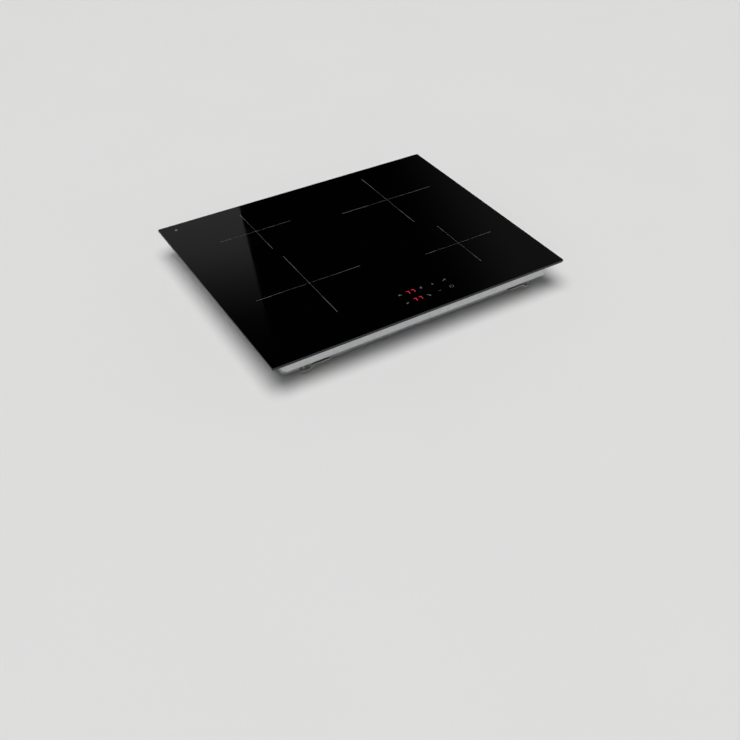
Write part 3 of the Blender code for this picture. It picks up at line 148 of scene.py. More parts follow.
class HobFinishSettings(bpy.types.PropertyGroup):
    """Colours of the pieces under the glass"""

    tape: colour("Sealing tape", "Foam under the rim of the glass", (0.022, 0.022, 0.023))
    rubber: colour("Rubber", "Grommet round the mains inlet", (0.026, 0.026, 0.027))
    silicone: colour("Silicone", "Plugs of the temperature sensors", (0.80, 0.80, 0.78))
    screws: colour("Screws", "Zinc-plated screws and leads", (0.62, 0.62, 0.60))
    clamps: colour("Clamps", "Zinc-plated spring strip", (0.50, 0.49, 0.45))
    key_springs: colour("Key springs", "Wire of the springs under the keys", (0.60, 0.60, 0.58))
    brass: colour("Brass", "Screws of the mains terminals", (0.72, 0.53, 0.24))
    aluminium: colour("Aluminium", "Coil plate and heat sinks", (0.75, 0.76, 0.77))
    cans: colour("Cans", "Cans of the round capacitors", (0.70, 0.71, 0.72))
    copper: colour("Copper", "Strands of the coils", (0.72, 0.36, 0.18))
    enamel: colour("Enamelled wire", "Wire of the chokes", (0.72, 0.33, 0.14))
    mica: colour("Mica", "Mats on the coils", (0.70, 0.66, 0.56))
    cores: colour("Ring cores", "Varnish on the cores of the chokes", (0.45, 0.27, 0.08))
    boards: colour("Circuit boards", "Solder resist", (0.05, 0.20, 0.09))
    white_plastic: colour("White plastic", "Terminals, board carriers and displays", (0.78, 0.77, 0.73))
    sockets: colour("Sockets", "Sockets on the power boards", (0.76, 0.75, 0.70))
    grey_plastic: colour("Grey plastic", "Coil carriers, fan motors and ribbon cable", (0.42, 0.42, 0.41))
    black_plastic: colour("Black plastic", "Fan housings and key carrier", (0.03, 0.03, 0.032))
    rotors: colour("Rotors", "Rotors of the fans", (0.11, 0.11, 0.115))
    packages: colour("Packages", "Relays, switches and chips", (0.025, 0.025, 0.027))
    capacitors: colour("Capacitors", "Cases of the film capacitors", (0.10, 0.16, 0.42))
    resistors: colour("Resistors", "Lacquer of the resistors", (0.55, 0.42, 0.26))
    display_face: colour("Display face", "Plate round the bars of a display", (0.02, 0.02, 0.021))
    display_bar: colour("Display bar", "Bars of a display that aren't lit", (0.72, 0.70, 0.68))


class HobStageSettings(bpy.types.PropertyGroup):
    """Floor, light and camera"""

    floor: colour("Floor", "Colour of the floor", (0.72, 0.72, 0.715))
    lamp_strength: FloatProperty(name="Lamp strength", description="Strength of the light overhead",
                                 default=2.9, min=0.0)
    lamp_spread: FloatProperty(name="Lamp spread", description="Angle that the light overhead fills",
                               default=math.radians(55), min=0.0, subtype="ANGLE")
    lens: FloatProperty(name="Lens", description="Focal length of the camera", default=46.79, min=1.0,
                        subtype="DISTANCE_CAMERA")
    sideways: FloatProperty(name="Sideways shift", description="Sideways shift of the camera's frame",
                            default=-0.0671)
    floor_squares: IntProperty(name="Floor squares", description="Squares across the floor", default=24,
                               min=1)


# Outlines and numbers

def arc(radius, start, end, steps, centre=(0.0, 0.0)):
    """Points at equal angles, in degrees, on a circle."""
    angle = np.radians(np.linspace(start, end, steps + 1))
    return np.stack([centre[0] + radius * np.cos(angle), centre[1] + radius * np.sin(angle)], axis=-1)


def circle(radius, centre=(0.0, 0.0), steps=ROUND):
    """An arc of a whole turn, whose last point isn't repeated."""
    return arc(radius, 0, 360, steps, centre)[:-1]


def rounded_rectangle(width, depth, radius, steps):
    """Four quarter circles at the corners of a rectangle, anticlockwise from the front right."""
    across, along = width / 2 - radius, depth / 2 - radius
    quarters = ((-90, across, -along), (0, across, along), (90, -across, along), (180, -across, -along))
    return np.concatenate([arc(radius, start, start + 90, steps, (x, y)) for start, x, y in quarters])


def drawn_in(width, depth, radius, inset, steps):
    """A rounded rectangle whose sides and corners all lie inwards by the inset."""
    return rounded_rectangle(width - 2 * inset, depth - 2 * inset, radius - inset, steps)


def stadium(length_x, width, centre, steps):
    """Two half circles joined by straight sides along X."""
    reach = (length_x - width) / 2
    right = arc(width / 2, -90, 90, steps, (centre[0] + reach, centre[1]))
    return np.concatenate([right, arc(width / 2, 90, 270, steps, (centre[0] - reach, centre[1]))])


def squared(value, power):
    """A value raised to a power with its sign kept."""
    return np.sign(value) * np.abs(value) ** power


def squared_circle(power, steps):
    """Points of a superellipse: cosine and sine raised to the power, with their signs kept."""
    angle = np.linspace(0.0, FULL_CIRCLE, steps, endpoint=False)
    return squared(np.stack([np.cos(angle), np.sin(angle)], axis=-1), power)


def smooth_step(value, low, high):
    """0 up to low and 1 from high on, with a cubic in between. Low may lie above high."""
    share = np.clip((value - low) / (high - low), 0.0, 1.0)
    return share * share * (3 - 2 * share)


def unit(vectors):
    """Vectors of length 1 with the same directions."""
    return vectors / np.linalg.norm(vectors, axis=1, keepdims=True)


def at_height(outline, z):
    """A flat outline laid at a height."""
    return np.column_stack([outline, np.full(len(outline), z)])


def middle_of(node):
    """The middle of a solid's box."""
    low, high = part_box(node)
    return np.array((low + high) / 2)


# Meshes from whole arrays

def grid_faces(rows, columns, wrap_rows=False, wrap_columns=False):
    """Quads between the neighbours of a grid that is numbered row by row."""
    row = np.arange(rows if wrap_rows else rows - 1)
    column = np.arange(columns if wrap_columns else columns - 1)
    down, across = np.meshgrid(row, column, indexing="ij")
    next_down, next_across = (down + 1) % rows, (across + 1) % columns
    corners = [(down, across), (down, next_across), (next_down, next_across), (next_down, across)]
    return np.stack([r * columns + c for r, c in corners], axis=-1).reshape(-1, 4)


def surface(points, wrap_rows=False, wrap_columns=False, caps=False):
    """A grid of points (rows, columns, 3) as vertices and faces. Caps close its first and last rows."""
    rows, columns = points.shape[:2]
    faces = grid_faces(rows, columns, wrap_rows, wrap_columns).tolist()
    if caps:
        faces.append(list(range(columns))[::-1])
        faces.append(list(range((rows - 1) * columns, rows * columns)))
    return points.reshape(-1, 3), faces


def sleeve(rings):
    """Closed rings one after another, open at both ends."""
    return surface(np.asarray(rings), wrap_columns=True)


def capped(rings):
    """Closed rings one after another, with the first and the last filled."""
    return surface(np.asarray(rings), wrap_columns=True, caps=True)


def hoop(rings):
    """Closed rings one after another, of which the last joins the first."""
    return surface(np.asarray(rings), wrap_rows=True, wrap_columns=True)


def slab(outline, low, high):
    """A flat outline made a plate from one height to another."""
    return capped([at_height(outline, low), at_height(outline, high)])


def gather(parts):
    """Several (vertices, faces) put into one list of vertices and one of faces."""
    vertices, faces, start = [], [], 0
    for points, corners in parts:
        vertices.append(points)
        faces += [[start + index for index in face] for face in corners]
        start += len(points)
    return np.concatenate(vertices), faces


def copies(part, places):
    """A part repeated: each place is a 3 by 3 turn and an offset."""
    points, faces = part
    return gather([(points @ np.asarray(turn).T + offset, faces) for turn, offset in places])


def moved(part, offset):
    """A part at another place."""
    points, faces = part
    return points + np.asarray(offset), faces


def revolve(profile, steps):
    """A profile of (radius, height) turned once about Z: x and y are the radius times cosine and sine."""
    profile = np.asarray(profile, float)
    angle = np.linspace(0.0, FULL_CIRCLE, steps, endpoint=False)
    x = profile[:, :1] * np.cos(angle)
    y = profile[:, :1] * np.sin(angle)
    z = np.broadcast_to(profile[:, 1:], x.shape)
    return np.stack([x, y, z], axis=-1)


def ribbon(path, width, low, high, closed=False):
    """A rectangle carried along a flat path: each point moves half the width along the path's normal."""
    path = np.asarray(path, float)
    if closed:
        along = unit(np.roll(path, -1, axis=0) - np.roll(path, 1, axis=0))
    else:
        along = unit(np.gradient(path, axis=0))
    normal = np.stack([-along[:, 1], along[:, 0]], axis=-1) * width / 2
    left, right = path + normal, path - normal
    corners = [at_height(left, low), at_height(right, low), at_height(right, high), at_height(left, high)]
    return surface(np.stack(corners, axis=1), wrap_rows=closed, wrap_columns=True, caps=not closed)


def tube(path, away, radius, sides):
    """A circle carried along a path, square to its tangent.

    The first point of each circle lies on the side that away gives.
    """
    along = unit(np.gradient(path, axis=0))
    out = unit(away - along * np.sum(away * along, axis=1, keepdims=True))
    angle = np.linspace(0.0, FULL_CIRCLE, sides, endpoint=False)[None, :, None]
    ring = np.cos(angle) * out[:, None] + np.sin(angle) * np.cross(along, out)[:, None]
    return capped(path[:, None] + radius * ring)


def block(width, depth, height, edge):
    """A block with round edges: rounded rectangles that draw in along a quarter circle towards the top."""
    corner = BLOCK_CORNER * edge
    levels = [(0.0, 0.0)] + [(edge - x, height - edge + z) for x, z in arc(edge, 0, 90, BLOCK_STEPS)]
    return capped([at_height(drawn_in(width, depth, corner, inset, BLOCK_STEPS), z) for inset, z in levels])


def block_for(node, edge):
    """A block with round edges in the place of a solid."""
    low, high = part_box(node)
    return moved(block(*(high - low), edge), middle_of(node) * ON_THE_FLOOR + (0.0, 0.0, low.z))


def make_piece(name, part, materials, stands_for=(), body="hob", weld=False,
               face_materials=None):
    """A piece of the object from (vertices, faces), with its faces outwards, riding on a body.

    Normals are weighted by the area of the faces, so a flat next to a small rounding mirrors as a flat.
    """
    vertices, faces = part
    mesh = bpy.data.meshes.new(name)
    mesh.from_pydata(np.asarray(vertices, float).tolist(), [], faces)
    for material in materials:
        mesh.materials.append(material)
    if face_materials is not None:
        mesh.polygons.foreach_set("material_index", np.asarray(face_materials, np.int32))
    shape = bmesh.new()
    shape.from_mesh(mesh)
    if weld:
        bmesh.ops.remove_doubles(shape, verts=shape.verts, dist=WELD)
    bmesh.ops.recalc_face_normals(shape, faces=shape.faces)
    shape.to_mesh(mesh)
    shape.free()
    mesh.shade_smooth()
    mesh.set_sharp_from_angle(angle=SMOOTH_BELOW)
    obj = bpy.data.objects.new(name, mesh)
    bpy.context.scene.collection.objects.link(obj)
    flats = obj.modifiers.new("flats_stay_flat", "WEIGHTED_NORMAL")
    flats.keep_sharp = True
    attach(obj, body)
    if stands_for:
        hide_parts(*stands_for)
    return obj


# Finishes

GLASS_IOR = 1.52
LIT_STRENGTH = 1.9
LIT_BODY = 0.3
TINNED = (0.62, 0.62, 0.60, 1.0)
FILLED_FIELD = (0.85, 0.85, 0.85, 1.0)
STEP_SLOPE = 0.001
# Sockets of a Mix node that mixes colours
MIX_SHARE, MIX_FIRST, MIX_SECOND = 0, 6, 7
MIX_RESULT = 2


class Finish:
    """A material's nodes, set on the piece's own coordinates."""

    def __init__(self, name, roughness, metallic=0.0):
        self.material = bpy.data.materials.new(name)
        self.material.use_nodes = True
        self.tree = self.material.node_tree
        self.shader = self.tree.nodes["Principled BSDF"]
        self.shader.inputs["Roughness"].default_value = roughness
        self.shader.inputs["Metallic"].default_value = metallic
        self.place = self.node("ShaderNodeTexCoord").outputs["Object"]

    def node(self, kind, **values):
        """A node with its settings and sockets, of which an underscore stands for a space."""
        made = self.tree.nodes.new(kind)
        for name, value in values.items():
            self.give(made, name, value)
        return made

    def fill(self, socket, value):
        """Links a value that is an output to the socket, or else sets it there."""
        if isinstance(value, bpy.types.NodeSocket):
            self.tree.links.new(value, socket)
        else:
            socket.default_value = value

    def give(self, made, name, value):
        """Fills the socket of that name, or sets the node's own setting where it has no such socket."""
        socket = made.inputs.get(name.replace("_", " "))
        if socket is None:
            setattr(made, name, value)
        else:
            self.fill(socket, value)

    def stretched(self, x, y, z):
        """The piece's coordinates times a factor for each axis: a small one draws the pattern out."""
        return self.node("ShaderNodeMapping", Vector=self.place, Scale=(x, y, z)).outputs["Vector"]

    def noise(self, scale, detail=3.0, vector=None):
        made = self.node("ShaderNodeTexNoise", Vector=vector or self.place, Scale=scale, Detail=detail)
        return made.outputs["Fac"]

    def cells(self, scale, output="Color", distance="EUCLIDEAN"):
        made = self.node("ShaderNodeTexVoronoi", distance=distance, Vector=self.place, Scale=scale)
        return made.outputs[output]

    def wave(self, vector, scale, direction, distortion=0.0):
        made = self.node("ShaderNodeTexWave", bands_direction=direction, Vector=vector, Scale=scale,
                         Distortion=distortion)
        return made.outputs["Fac"]

    def grey(self, value):
        """The brightness of a colour."""
        return self.node("ShaderNodeRGBToBW", Color=value).outputs["Val"]

    def span(self, value, low, high, start=0.0, end=1.0, kind="LINEAR"):
        """A value from start to end laid over the range from low to high."""
        made = self.node("ShaderNodeMapRange", interpolation_type=kind, Value=value, From_Min=start,
                         From_Max=end, To_Min=low, To_Max=high)
        return made.outputs["Result"]

    def above(self, value, level):
        """0 below the level and 1 above it."""
        return self.span(value, low=0.0, high=1.0, start=level, end=level + STEP_SLOPE)

    def mix(self, share, first, second):
        """The first colour where the share is 0 and the second where it is 1."""
        made = self.node("ShaderNodeMix", data_type="RGBA")
        for index, value in ((MIX_SHARE, share), (MIX_FIRST, first), (MIX_SECOND, second)):
            self.fill(made.inputs[index], value)
        return made.outputs[MIX_RESULT]

    def shades(self, share, base, spread):
        """The base colour, darker by the spread where the share is 0 and lighter where it is 1."""
        dark = tuple(max(c * (1 - spread), 0.0) for c in base) + (1.0,)
        light = tuple(min(c * (1 + spread), 1.0) for c in base) + (1.0,)
        return self.mix(share, dark, light)

    def colour(self, value):
        self.give(self.shader, "Base Color", value)

    def roughness(self, value):
        self.give(self.shader, "Roughness", value)

    def relief(self, height, strength, distance):
        made = self.node("ShaderNodeBump", Height=height, Strength=strength, Distance=distance)
        self.give(self.shader, "Normal", made.outputs["Normal"])


def black_glass(settings):
    """Polished glass with the faint smears that a wiped plate keeps."""
    made = Finish("black_glass", roughness=0.03)
    smears = made.noise(scale=9.0, detail=4.0, vector=made.stretched(1.0, 2.6, 1.0))
    made.roughness(made.span(smears, low=0.015, high=0.055, start=0.35, end=0.7))
    made.colour(made.shades(made.noise(scale=40.0), settings.glass, spread=0.2))
    made.give(made.shader, "IOR", GLASS_IOR)
    return made.material


def ground_edge(settings):
    """The matt edge that a diamond wheel leaves, with fine marks along it."""
    made = Finish("ground_edge", roughness=0.4)
    marks = made.noise(scale=900.0, detail=2.0, vector=made.stretched(0.08, 0.08, 1.0))
    made.colour(made.shades(marks, settings.ground, spread=0.3))
    made.roughness(made.span(marks, low=0.32, high=0.5))
    made.relief(marks, strength=0.15, distance=0.00004)
    return made.material


def printed_ink(settings):
    """Fired ceramic ink with the slight unevenness of a screen print."""
    made = Finish("printed_ink", roughness=0.45)
    grain = made.noise(scale=2600.0, detail=2.0)
    made.colour(made.shades(grain, settings.ink, spread=0.18))
    made.roughness(made.span(grain, low=0.38, high=0.55))
    return made.material


def lit_segments(settings):
    """Light that comes through the glass, a little uneven along each bar."""
    made = Finish("lit_segments", roughness=0.2)
    glow = made.noise(scale=700.0, detail=1.0)
    made.colour((*(LIT_BODY * c for c in settings.lit), 1.0))
    made.give(made.shader, "Emission Color", made.shades(glow, settings.lit, spread=0.12))
    made.give(made.shader, "Emission Strength", LIT_STRENGTH)
    return made.material


def zinc_steel(base):
    """Hot-dipped sheet: flat crystals of different tone, rolling lines and a fine pitting."""
    made = Finish("zinc_steel", roughness=0.42, metallic=1.0)
    rolled = made.noise(scale=60.0, vector=made.stretched(0.12, 3.0, 3.0))
    tone = made.grey(made.mix(share=0.35, first=made.cells(scale=130.0), second=rolled))
    made.colour(made.shades(tone, base, spread=0.14))
    made.roughness(made.span(tone, low=0.34, high=0.52, start=0.2, end=0.8))
    made.relief(made.noise(scale=1500.0, detail=2.0), strength=0.12, distance=0.00005)
    return made.material


def brushed_metal(name, base, roughness, along, spread=0.1):
    """Bare metal with drawn lines along one axis."""
    made = Finish(name, roughness, metallic=1.0)
    lines = made.noise(scale=500.0, vector=made.stretched(*along))
    cloud = made.noise(scale=45.0, detail=2.0)
    made.colour(made.shades(made.span(cloud, low=0.1, high=0.9, start=0.3, end=0.7), base, spread))
    made.roughness(made.span(lines, low=roughness - 0.08, high=roughness + 0.1, start=0.3, end=0.7))
    made.relief(lines, strength=0.18, distance=0.00004)
    return made.material


def screw_steel(settings):
    """Zinc-plated steel with lines along Z."""
    return brushed_metal("screw_steel", settings.screws, roughness=0.32, along=(1.0, 1.0, 0.1))


def moulded_plastic(name, base, roughness, spread=0.06):
    """Moulded plastic with a spark-eroded grain."""
    made = Finish(name, roughness)
    grain = made.noise(scale=2200.0, detail=2.0)
    cloud = made.noise(scale=35.0)
    made.colour(made.shades(made.span(cloud, low=0.0, high=1.0, start=0.3, end=0.7), base, spread))
    made.roughness(made.span(grain, low=roughness - 0.07, high=roughness + 0.09, start=0.3, end=0.7))
    made.relief(grain, strength=0.22, distance=0.00005)
    return made.material


def soft_rubber(name, base, scale, depth):
    """Rubber or foam, with open cells of that scale and depth."""
    made = Finish(name, roughness=0.85)
    cells = made.cells(scale, "Distance")
    made.colour(made.shades(cells, base, spread=0.3))
    made.roughness(made.span(cells, low=0.75, high=0.95))
    made.relief(cells, strength=0.35, distance=depth)
    return made.material


def copper_strand(base):
    """Enamelled strands that wind round the conductor, along its own UV map."""
    made = Finish("copper", roughness=0.36, metallic=1.0)
    along = made.node("ShaderNodeUVMap", uv_map="strand").outputs["UV"]
    strands = made.wave(along, scale=2.2, direction="DIAGONAL", distortion=0.6)
    made.colour(made.shades(strands, base, spread=0.3))
    made.roughness(made.span(strands, low=0.42, high=0.3))
    made.relief(strands, strength=0.6, distance=0.0003)
    return made.material


def mica_board(base):
    """Pressed flakes of different tone."""
    made = Finish("mica", roughness=0.75)
    tone = made.grey(made.cells(scale=420.0))
    made.colour(made.shades(tone, base, spread=0.16))
    made.roughness(made.span(tone, low=0.55, high=0.9))
    made.relief(tone, strength=0.2, distance=0.00006)
    return made.material


def circuit_board(base):
    """Solder resist over fields of copper, with tinned pads.

    The copper of a field is lines one way, lines the other way, or all of it.
    """
    made = Finish("circuit_board", roughness=0.4)
    field = made.grey(made.cells(scale=62.0, distance="CHEBYCHEV"))
    lines = [made.wave(made.place, scale=150.0, direction=way) for way in "XY"]
    either = made.grey(made.mix(made.above(field, 0.48), *lines))
    tracks = made.span(either, low=0.0, high=1.0, start=0.45, end=0.6)
    raised = made.grey(made.mix(made.above(field, 0.62), tracks, FILLED_FIELD))
    resist = made.shades(raised, base, spread=0.35)
    pads = made.span(made.cells(240.0, "Distance"), low=1.0, high=0.0, start=0.13, end=0.16)
    made.colour(made.mix(pads, resist, TINNED))
    made.roughness(made.span(raised, low=0.45, high=0.32))
    made.relief(raised, strength=0.25, distance=0.00005)
    return made.material


def dress(material, *names):
    """Gives solids carried over from the frame their finish."""
    for name in names:
        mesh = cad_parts[name].data
        mesh.materials.clear()
        mesh.materials.append(material)


# Glass

ARRIS_STEPS = 5
GLASS_CORNER_STEPS = 10
PRINT_LIFT = 0.00003
PRINT_LOW = GLASS_HIGH.z - PRINT_LIFT
PRINT_HIGH = GLASS_HIGH.z + PRINT_LIFT
DOT_RADIUS = 0.0025
DOT_FROM_SIDE = 0.0298
DOT_FROM_REAR = 0.0210
FLAT_TURNS = [np.array([[c, s], [-s, c]]) for c, s in ((1.0, 0.0), (0.0, 1.0), (-1.0, 0.0), (0.0, -1.0))]


def glass_rings(settings):
    """The plate's edge as rings: a rounded rectangle whose inset follows two quarter circles."""
    width, depth = (GLASS_HIGH - GLASS_LOW)[:2]
    radius = settings.arris
    quarter = arc(radius, 0, 90, ARRIS_STEPS)
    lower = [(radius - x, GLASS_LOW.z + radius - z) for x, z in quarter[::-1]]
    upper = [(radius - x, GLASS_HIGH.z - radius + z) for x, z in quarter]
    return [at_height(drawn_in(width, depth, settings.corner, inset, GLASS_CORNER_STEPS), z)
            for inset, z in lower + upper]


class HOB_OT_glass(bpy.types.Operator):
    """Makes the glass plate with polished faces and ground edges"""

    bl_idname = "hob.glass"
    bl_label = "Glass plate"

    def execute(self, context):
        settings = context.scene.hob_glass
        part = capped(glass_rings(settings))
        edge = np.ones(len(part[1]), int)
        edge[-2:] = 0
        make_piece("glass_plate", part, [black_glass(settings), ground_edge(settings)],
                   ["glass_top"], face_materials=edge)
        return {"FINISHED"}


def mark_length(zone, settings):
    """The length of a zone's printed arms: large or small, whichever is nearer to the width of its mat."""
    low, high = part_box("coil_mat_" + zone)
    return settings.large if high.x - low.x > (settings.large + settings.small) / 2 else settings.small


def zone_mark(centre, arm, settings):
    """A fine cross as wide as the smallest pan, and a bolder bar from there to the end of each arm.

    The cross is one outline of three corners turned four times, and each bar is a rectangle along its arm.
    """
    inner, thin = settings.smallest_pan / 2, settings.fine_line / 2
    corners = np.array([(inner, -thin), (inner, thin), (thin, thin)])
    cross = slab(np.concatenate([corners @ turn for turn in FLAT_TURNS]) + centre, PRINT_LOW, PRINT_HIGH)
    reach = np.array([(inner, 0.0), (arm / 2, 0.0)])
    bars = [ribbon(reach @ turn + centre, settings.line, PRINT_LOW, PRINT_HIGH) for turn in FLAT_TURNS]
    return gather([cross] + bars)


class HOB_OT_zone_marks(bpy.types.Operator):
    """Prints the cross over each coil and the dot at the rear left corner"""

    bl_idname = "hob.zone_marks"
    bl_label = "Zone marks"

    def execute(self, context):
        settings = context.scene.hob_glass
        ink = printed_ink(settings)
        marks = [zone_mark(middle_of("coil_mat_" + zone)[:2], mark_length(zone, settings), settings)
                 for zone in ZONES]
        make_piece("zone_marks", gather(marks), [ink])
        centre = (GLASS_LOW.x + DOT_FROM_SIDE, GLASS_HIGH.y - DOT_FROM_REAR)
        make_piece("corner_dot", slab(circle(DOT_RADIUS, centre), PRINT_LOW, PRINT_HIGH), [ink])
        return {"FINISHED"}


# Control field

ROW_REAR = -0.1905
ROW_FRONT = -0.2160
COLUMN_SELECT = -0.0183
COLUMN_DIGITS = (-0.0024, 0.0083)
COLUMN_HEAT = 0.0255
COLUMN_CHANGE = 0.0492
COLUMN_SWITCH = 0.0738
KEYS = (("zone_rear", COLUMN_SELECT, ROW_REAR), ("pan", COLUMN_HEAT, ROW_REAR),
        ("plus", COLUMN_CHANGE, ROW_REAR), ("key", COLUMN_SWITCH, ROW_REAR),
        ("zone_front", COLUMN_SELECT, ROW_FRONT), ("bridge", COLUMN_HEAT, ROW_FRONT),
        ("minus", COLUMN_CHANGE, ROW_FRONT), ("power", COLUMN_SWITCH, ROW_FRONT))
# Strokes that cross lie at heights that differ by this
STROKE_STEP = PRINT_LIFT / 4
RING_STEPS = 24
DIGIT_SLANT = 0.13
BAR_GAP = 0.12
SEVEN = "abc"
ALL_BARS = "abcdefg"


def symbol_lines(symbol):
    """The strokes of a key's symbol about its middle, in millimetres.

    Each stroke has its points, its weight and whether it closes.
    """

    def ring(radius, centre, weight=1.0):
        return circle(radius, centre, RING_STEPS), weight, True

    def line(points, weight=1.0):
        return np.array(points), weight, False

    return {
        "zone_rear": [ring(1.1, (-1.0, 1.6), 1.1), line([(0.0, 1.1), (2.9, -0.3)], 1.1)],
        "zone_front": [ring(1.1, (-2.0, -1.5), 1.1), line([(-1.0, -1.0), (2.3, 0.6)], 1.0)],
        "pan": [ring(1.3, (0.5, 2.1), 1.15), line(arc(3.0, 190, 310, 14, (0.0, 1.9)), 0.55)],
        "bridge": [ring(0.9, (-1.5, 2.1), 0.7), line([(-1.0, 1.4), (0.5, -0.7)], 0.8),
                   ring(1.3, (1.2, -1.7), 1.1)],
        "plus": [line([(-1.9, 0.0), (1.9, 0.0)]), line([(0.0, -1.9), (0.0, 1.9)])],
        "minus": [line([(-2.9, 1.2), (2.4, 1.2)], 0.62)],
        "key": [ring(1.2, (2.4, 0.8), 1.1), line([(1.3, 0.35), (-2.8, -1.3)], 1.0),
                line([(-1.2, -0.7), (-0.8, -1.6)], 0.9)],
        "power": [line(arc(3.6, 125, 415, 36, (0.9, 1.5)), 0.62), line([(0.9, 2.2), (0.9, 5.8)], 0.62)],
    }[symbol]


def digit_bars(centre, z, names, settings):
    """Bars of a seven-bar digit, named a to f clockwise from the top and g in the middle.

    Each bar is a plate of six corners with pointed ends, and the digit leans by a share of its height.
    """
    thick = settings.digit_bar
    half, right, top = thick / 2, (settings.digit_width - thick) / 2, (settings.digit_height - thick) / 2
    ends = {"a": ((-right, top), (right, top)), "b": ((right, 0.0), (right, top)),
            "c": ((right, -top), (right, 0.0)), "d": ((-right, -top), (right, -top)),
            "e": ((-right, -top), (-right, 0.0)), "f": ((-right, 0.0), (-right, top)),
            "g": ((-right, 0.0), (right, 0.0))}

    def bar(start, end):
        start, end = np.array(start), np.array(end)
        along = (end - start) / np.linalg.norm(end - start)
        side = np.array([-along[1], along[0]]) * half
        start, end = start + along * thick * BAR_GAP, end - along * thick * BAR_GAP
        point = along * half
        outline = np.array([start, start + point - side, end - point - side, end, end - point + side,
                            start + point + side])
        outline[:, 0] += outline[:, 1] * DIGIT_SLANT
        return slab(outline + centre, z - PRINT_LIFT, z + PRINT_LIFT)

    return [bar(*ends[name]) for name in names]


class HOB_OT_controls(bpy.types.Operator):
    """Prints the key symbols and lights the digits of the control field"""

    bl_idname = "hob.controls"
    bl_label = "Control field"

    def execute(self, context):
        settings = context.scene.hob_glass
        strokes = []
        for symbol, x, y in KEYS:
            for layer, (points, weight, closed) in enumerate(symbol_lines(symbol)):
                strokes.append(ribbon(points * MILLIMETRE + (x, y), weight * settings.stroke, PRINT_LOW,
                                      PRINT_HIGH - layer * STROKE_STEP, closed))
        make_piece("key_symbols", gather(strokes), [printed_ink(settings)])
        bars = []
        for row in (ROW_REAR, ROW_FRONT):
            for column in COLUMN_DIGITS:
                bars += digit_bars((column, row), GLASS_HIGH.z, SEVEN, settings)
        make_piece("lit_digits", gather(bars), [lit_segments(settings)])
        return {"FINISHED"}


# Sealing tape

TAPE_WIDTH = 0.008
TAPE_SQUARENESS = 0.4
TAPE_SIDES = 20
TAPE_CORNER_STEPS = 6


class HOB_OT_sealing_tape(bpy.types.Operator):
    """Lays the foam tape under the rim of the glass"""

    bl_idname = "hob.sealing_tape"
    bl_label = "Sealing tape"

    def execute(self, context):
        width, depth = (TAPE_HIGH - TAPE_LOW)[:2]
        corner = context.scene.hob_glass.corner
        middle, half = (TAPE_LOW.z + GLASS_LOW.z) / 2, (GLASS_LOW.z - TAPE_LOW.z) / 2
        rings = []
        for across, up in squared_circle(TAPE_SQUARENESS, TAPE_SIDES):
            inset = TAPE_WIDTH / 2 * (1 - across)
            outline = rounded_rectangle(width - 2 * inset, depth - 2 * inset, corner, TAPE_CORNER_STEPS)
            rings.append(at_height(outline, middle + half * up))
        foam = soft_rubber("sealing_tape", context.scene.hob_finish.tape, scale=1400.0, depth=0.00012)
        make_piece("sealing_tape", hoop(rings), [foam], ["rim_gasket"])
        return {"FINISHED"}


# Tray

BEND_STEPS = 6
TRAY_CORNER_STEPS = 9
SLOT_STEPS = 6
FOOT_RADIUS = 0.014
FOOT_INSET = 0.034
BEAD_LENGTH = 0.400
BEAD_WIDTH = 0.014
BEAD_DEPTH = 0.0015
BEAD_ROWS = (-0.143, -0.073, -0.003)
BEAD_STEPS = 10
DISH_RINGS = 7
VENT_COUNT = 34
VENT_PITCH = 0.010
VENT_WIDTH = 0.0034
VENT_MARGIN = 0.004
GRILLE_WIDTH = 0.0036
GRILLE_PITCH = 0.008
GRILLE_BRIDGE = 0.006
GRILLE_RADIUS = 0.036
FAN_X = 0.140
FAN_Y = 0.160
OPENING_X = 0.046
OPENING_Y = (0.157, 0.213)
OPENING_CORNER = 0.0012
OPENING_STEPS = 3
INLET_HOLE = 0.0073


def tray_rings(settings, inset):
    """One skin of the wall: the floor's bend, the bend out to the ledge, the bend up from it, and the rim.

    Each bend is a quarter circle, which sets how far its ring lies inside the tray's outline and how high.
    """
    width, depth = (TRAY_HIGH - TRAY_LOW)[:2]
    bend, ledge_bend = settings.bend, settings.ledge_bend
    turn = np.radians(np.linspace(0.0, 90.0, BEND_STEPS + 1))
    outer, inner = bend - inset, ledge_bend + inset
    start = settings.ledge_height - ledge_bend

    def bend_up(base):
        return [(bend - outer * math.sin(a), base + bend - outer * math.cos(a)) for a in turn]

    bend_out = [(inner * math.cos(a) - ledge_bend, start + inner * math.sin(a)) for a in turn]
    lower = bend_up(settings.foot_depth) + bend_out
    upper = bend_up(settings.ledge_height) + [(inset, TRAY_HIGH.z)]
    rings = []
    for share, stations in ((1, lower), (0, upper)):
        across, along = width - 2 * share * settings.ledge_side, depth - 2 * share * settings.ledge_depth
        rings += [at_height(drawn_in(across, along, settings.corner, inward, TRAY_CORNER_STEPS), z)
                  for inward, z in stations]
    return np.stack(rings)


def wall_skin(rings):
    """The skin's faces, less the flat front and rear of the lower wall, which have openings."""
    rows, columns = rings.shape[:2]
    faces = grid_faces(rows, columns, wrap_columns=True).reshape(rows - 1, columns, 4)
    kept = np.ones((rows - 1, columns), bool)
    kept[BEND_STEPS, [columns // 2 - 1, columns - 1]] = False
    return rings.reshape(-1, 3), faces[kept].tolist()


def level(z):
    """A function that lays flat points at a height."""
    return lambda flat: at_height(flat, z)


def upright(y):
    """A function that stands flat points up in a plane across Y."""
    return lambda flat: np.column_stack([flat[:, 0], np.full(len(flat), y), flat[:, 1]])


def flat_skin(outlines, place):
    """The first outline less the others, in triangles, put in space by a function of the flat points."""
    triangles = tessellate_polygon([[Vector((x, y, 0.0)) for x, y in outline] for outline in outlines])
    return place(np.concatenate(outlines)), [list(face) for face in triangles]


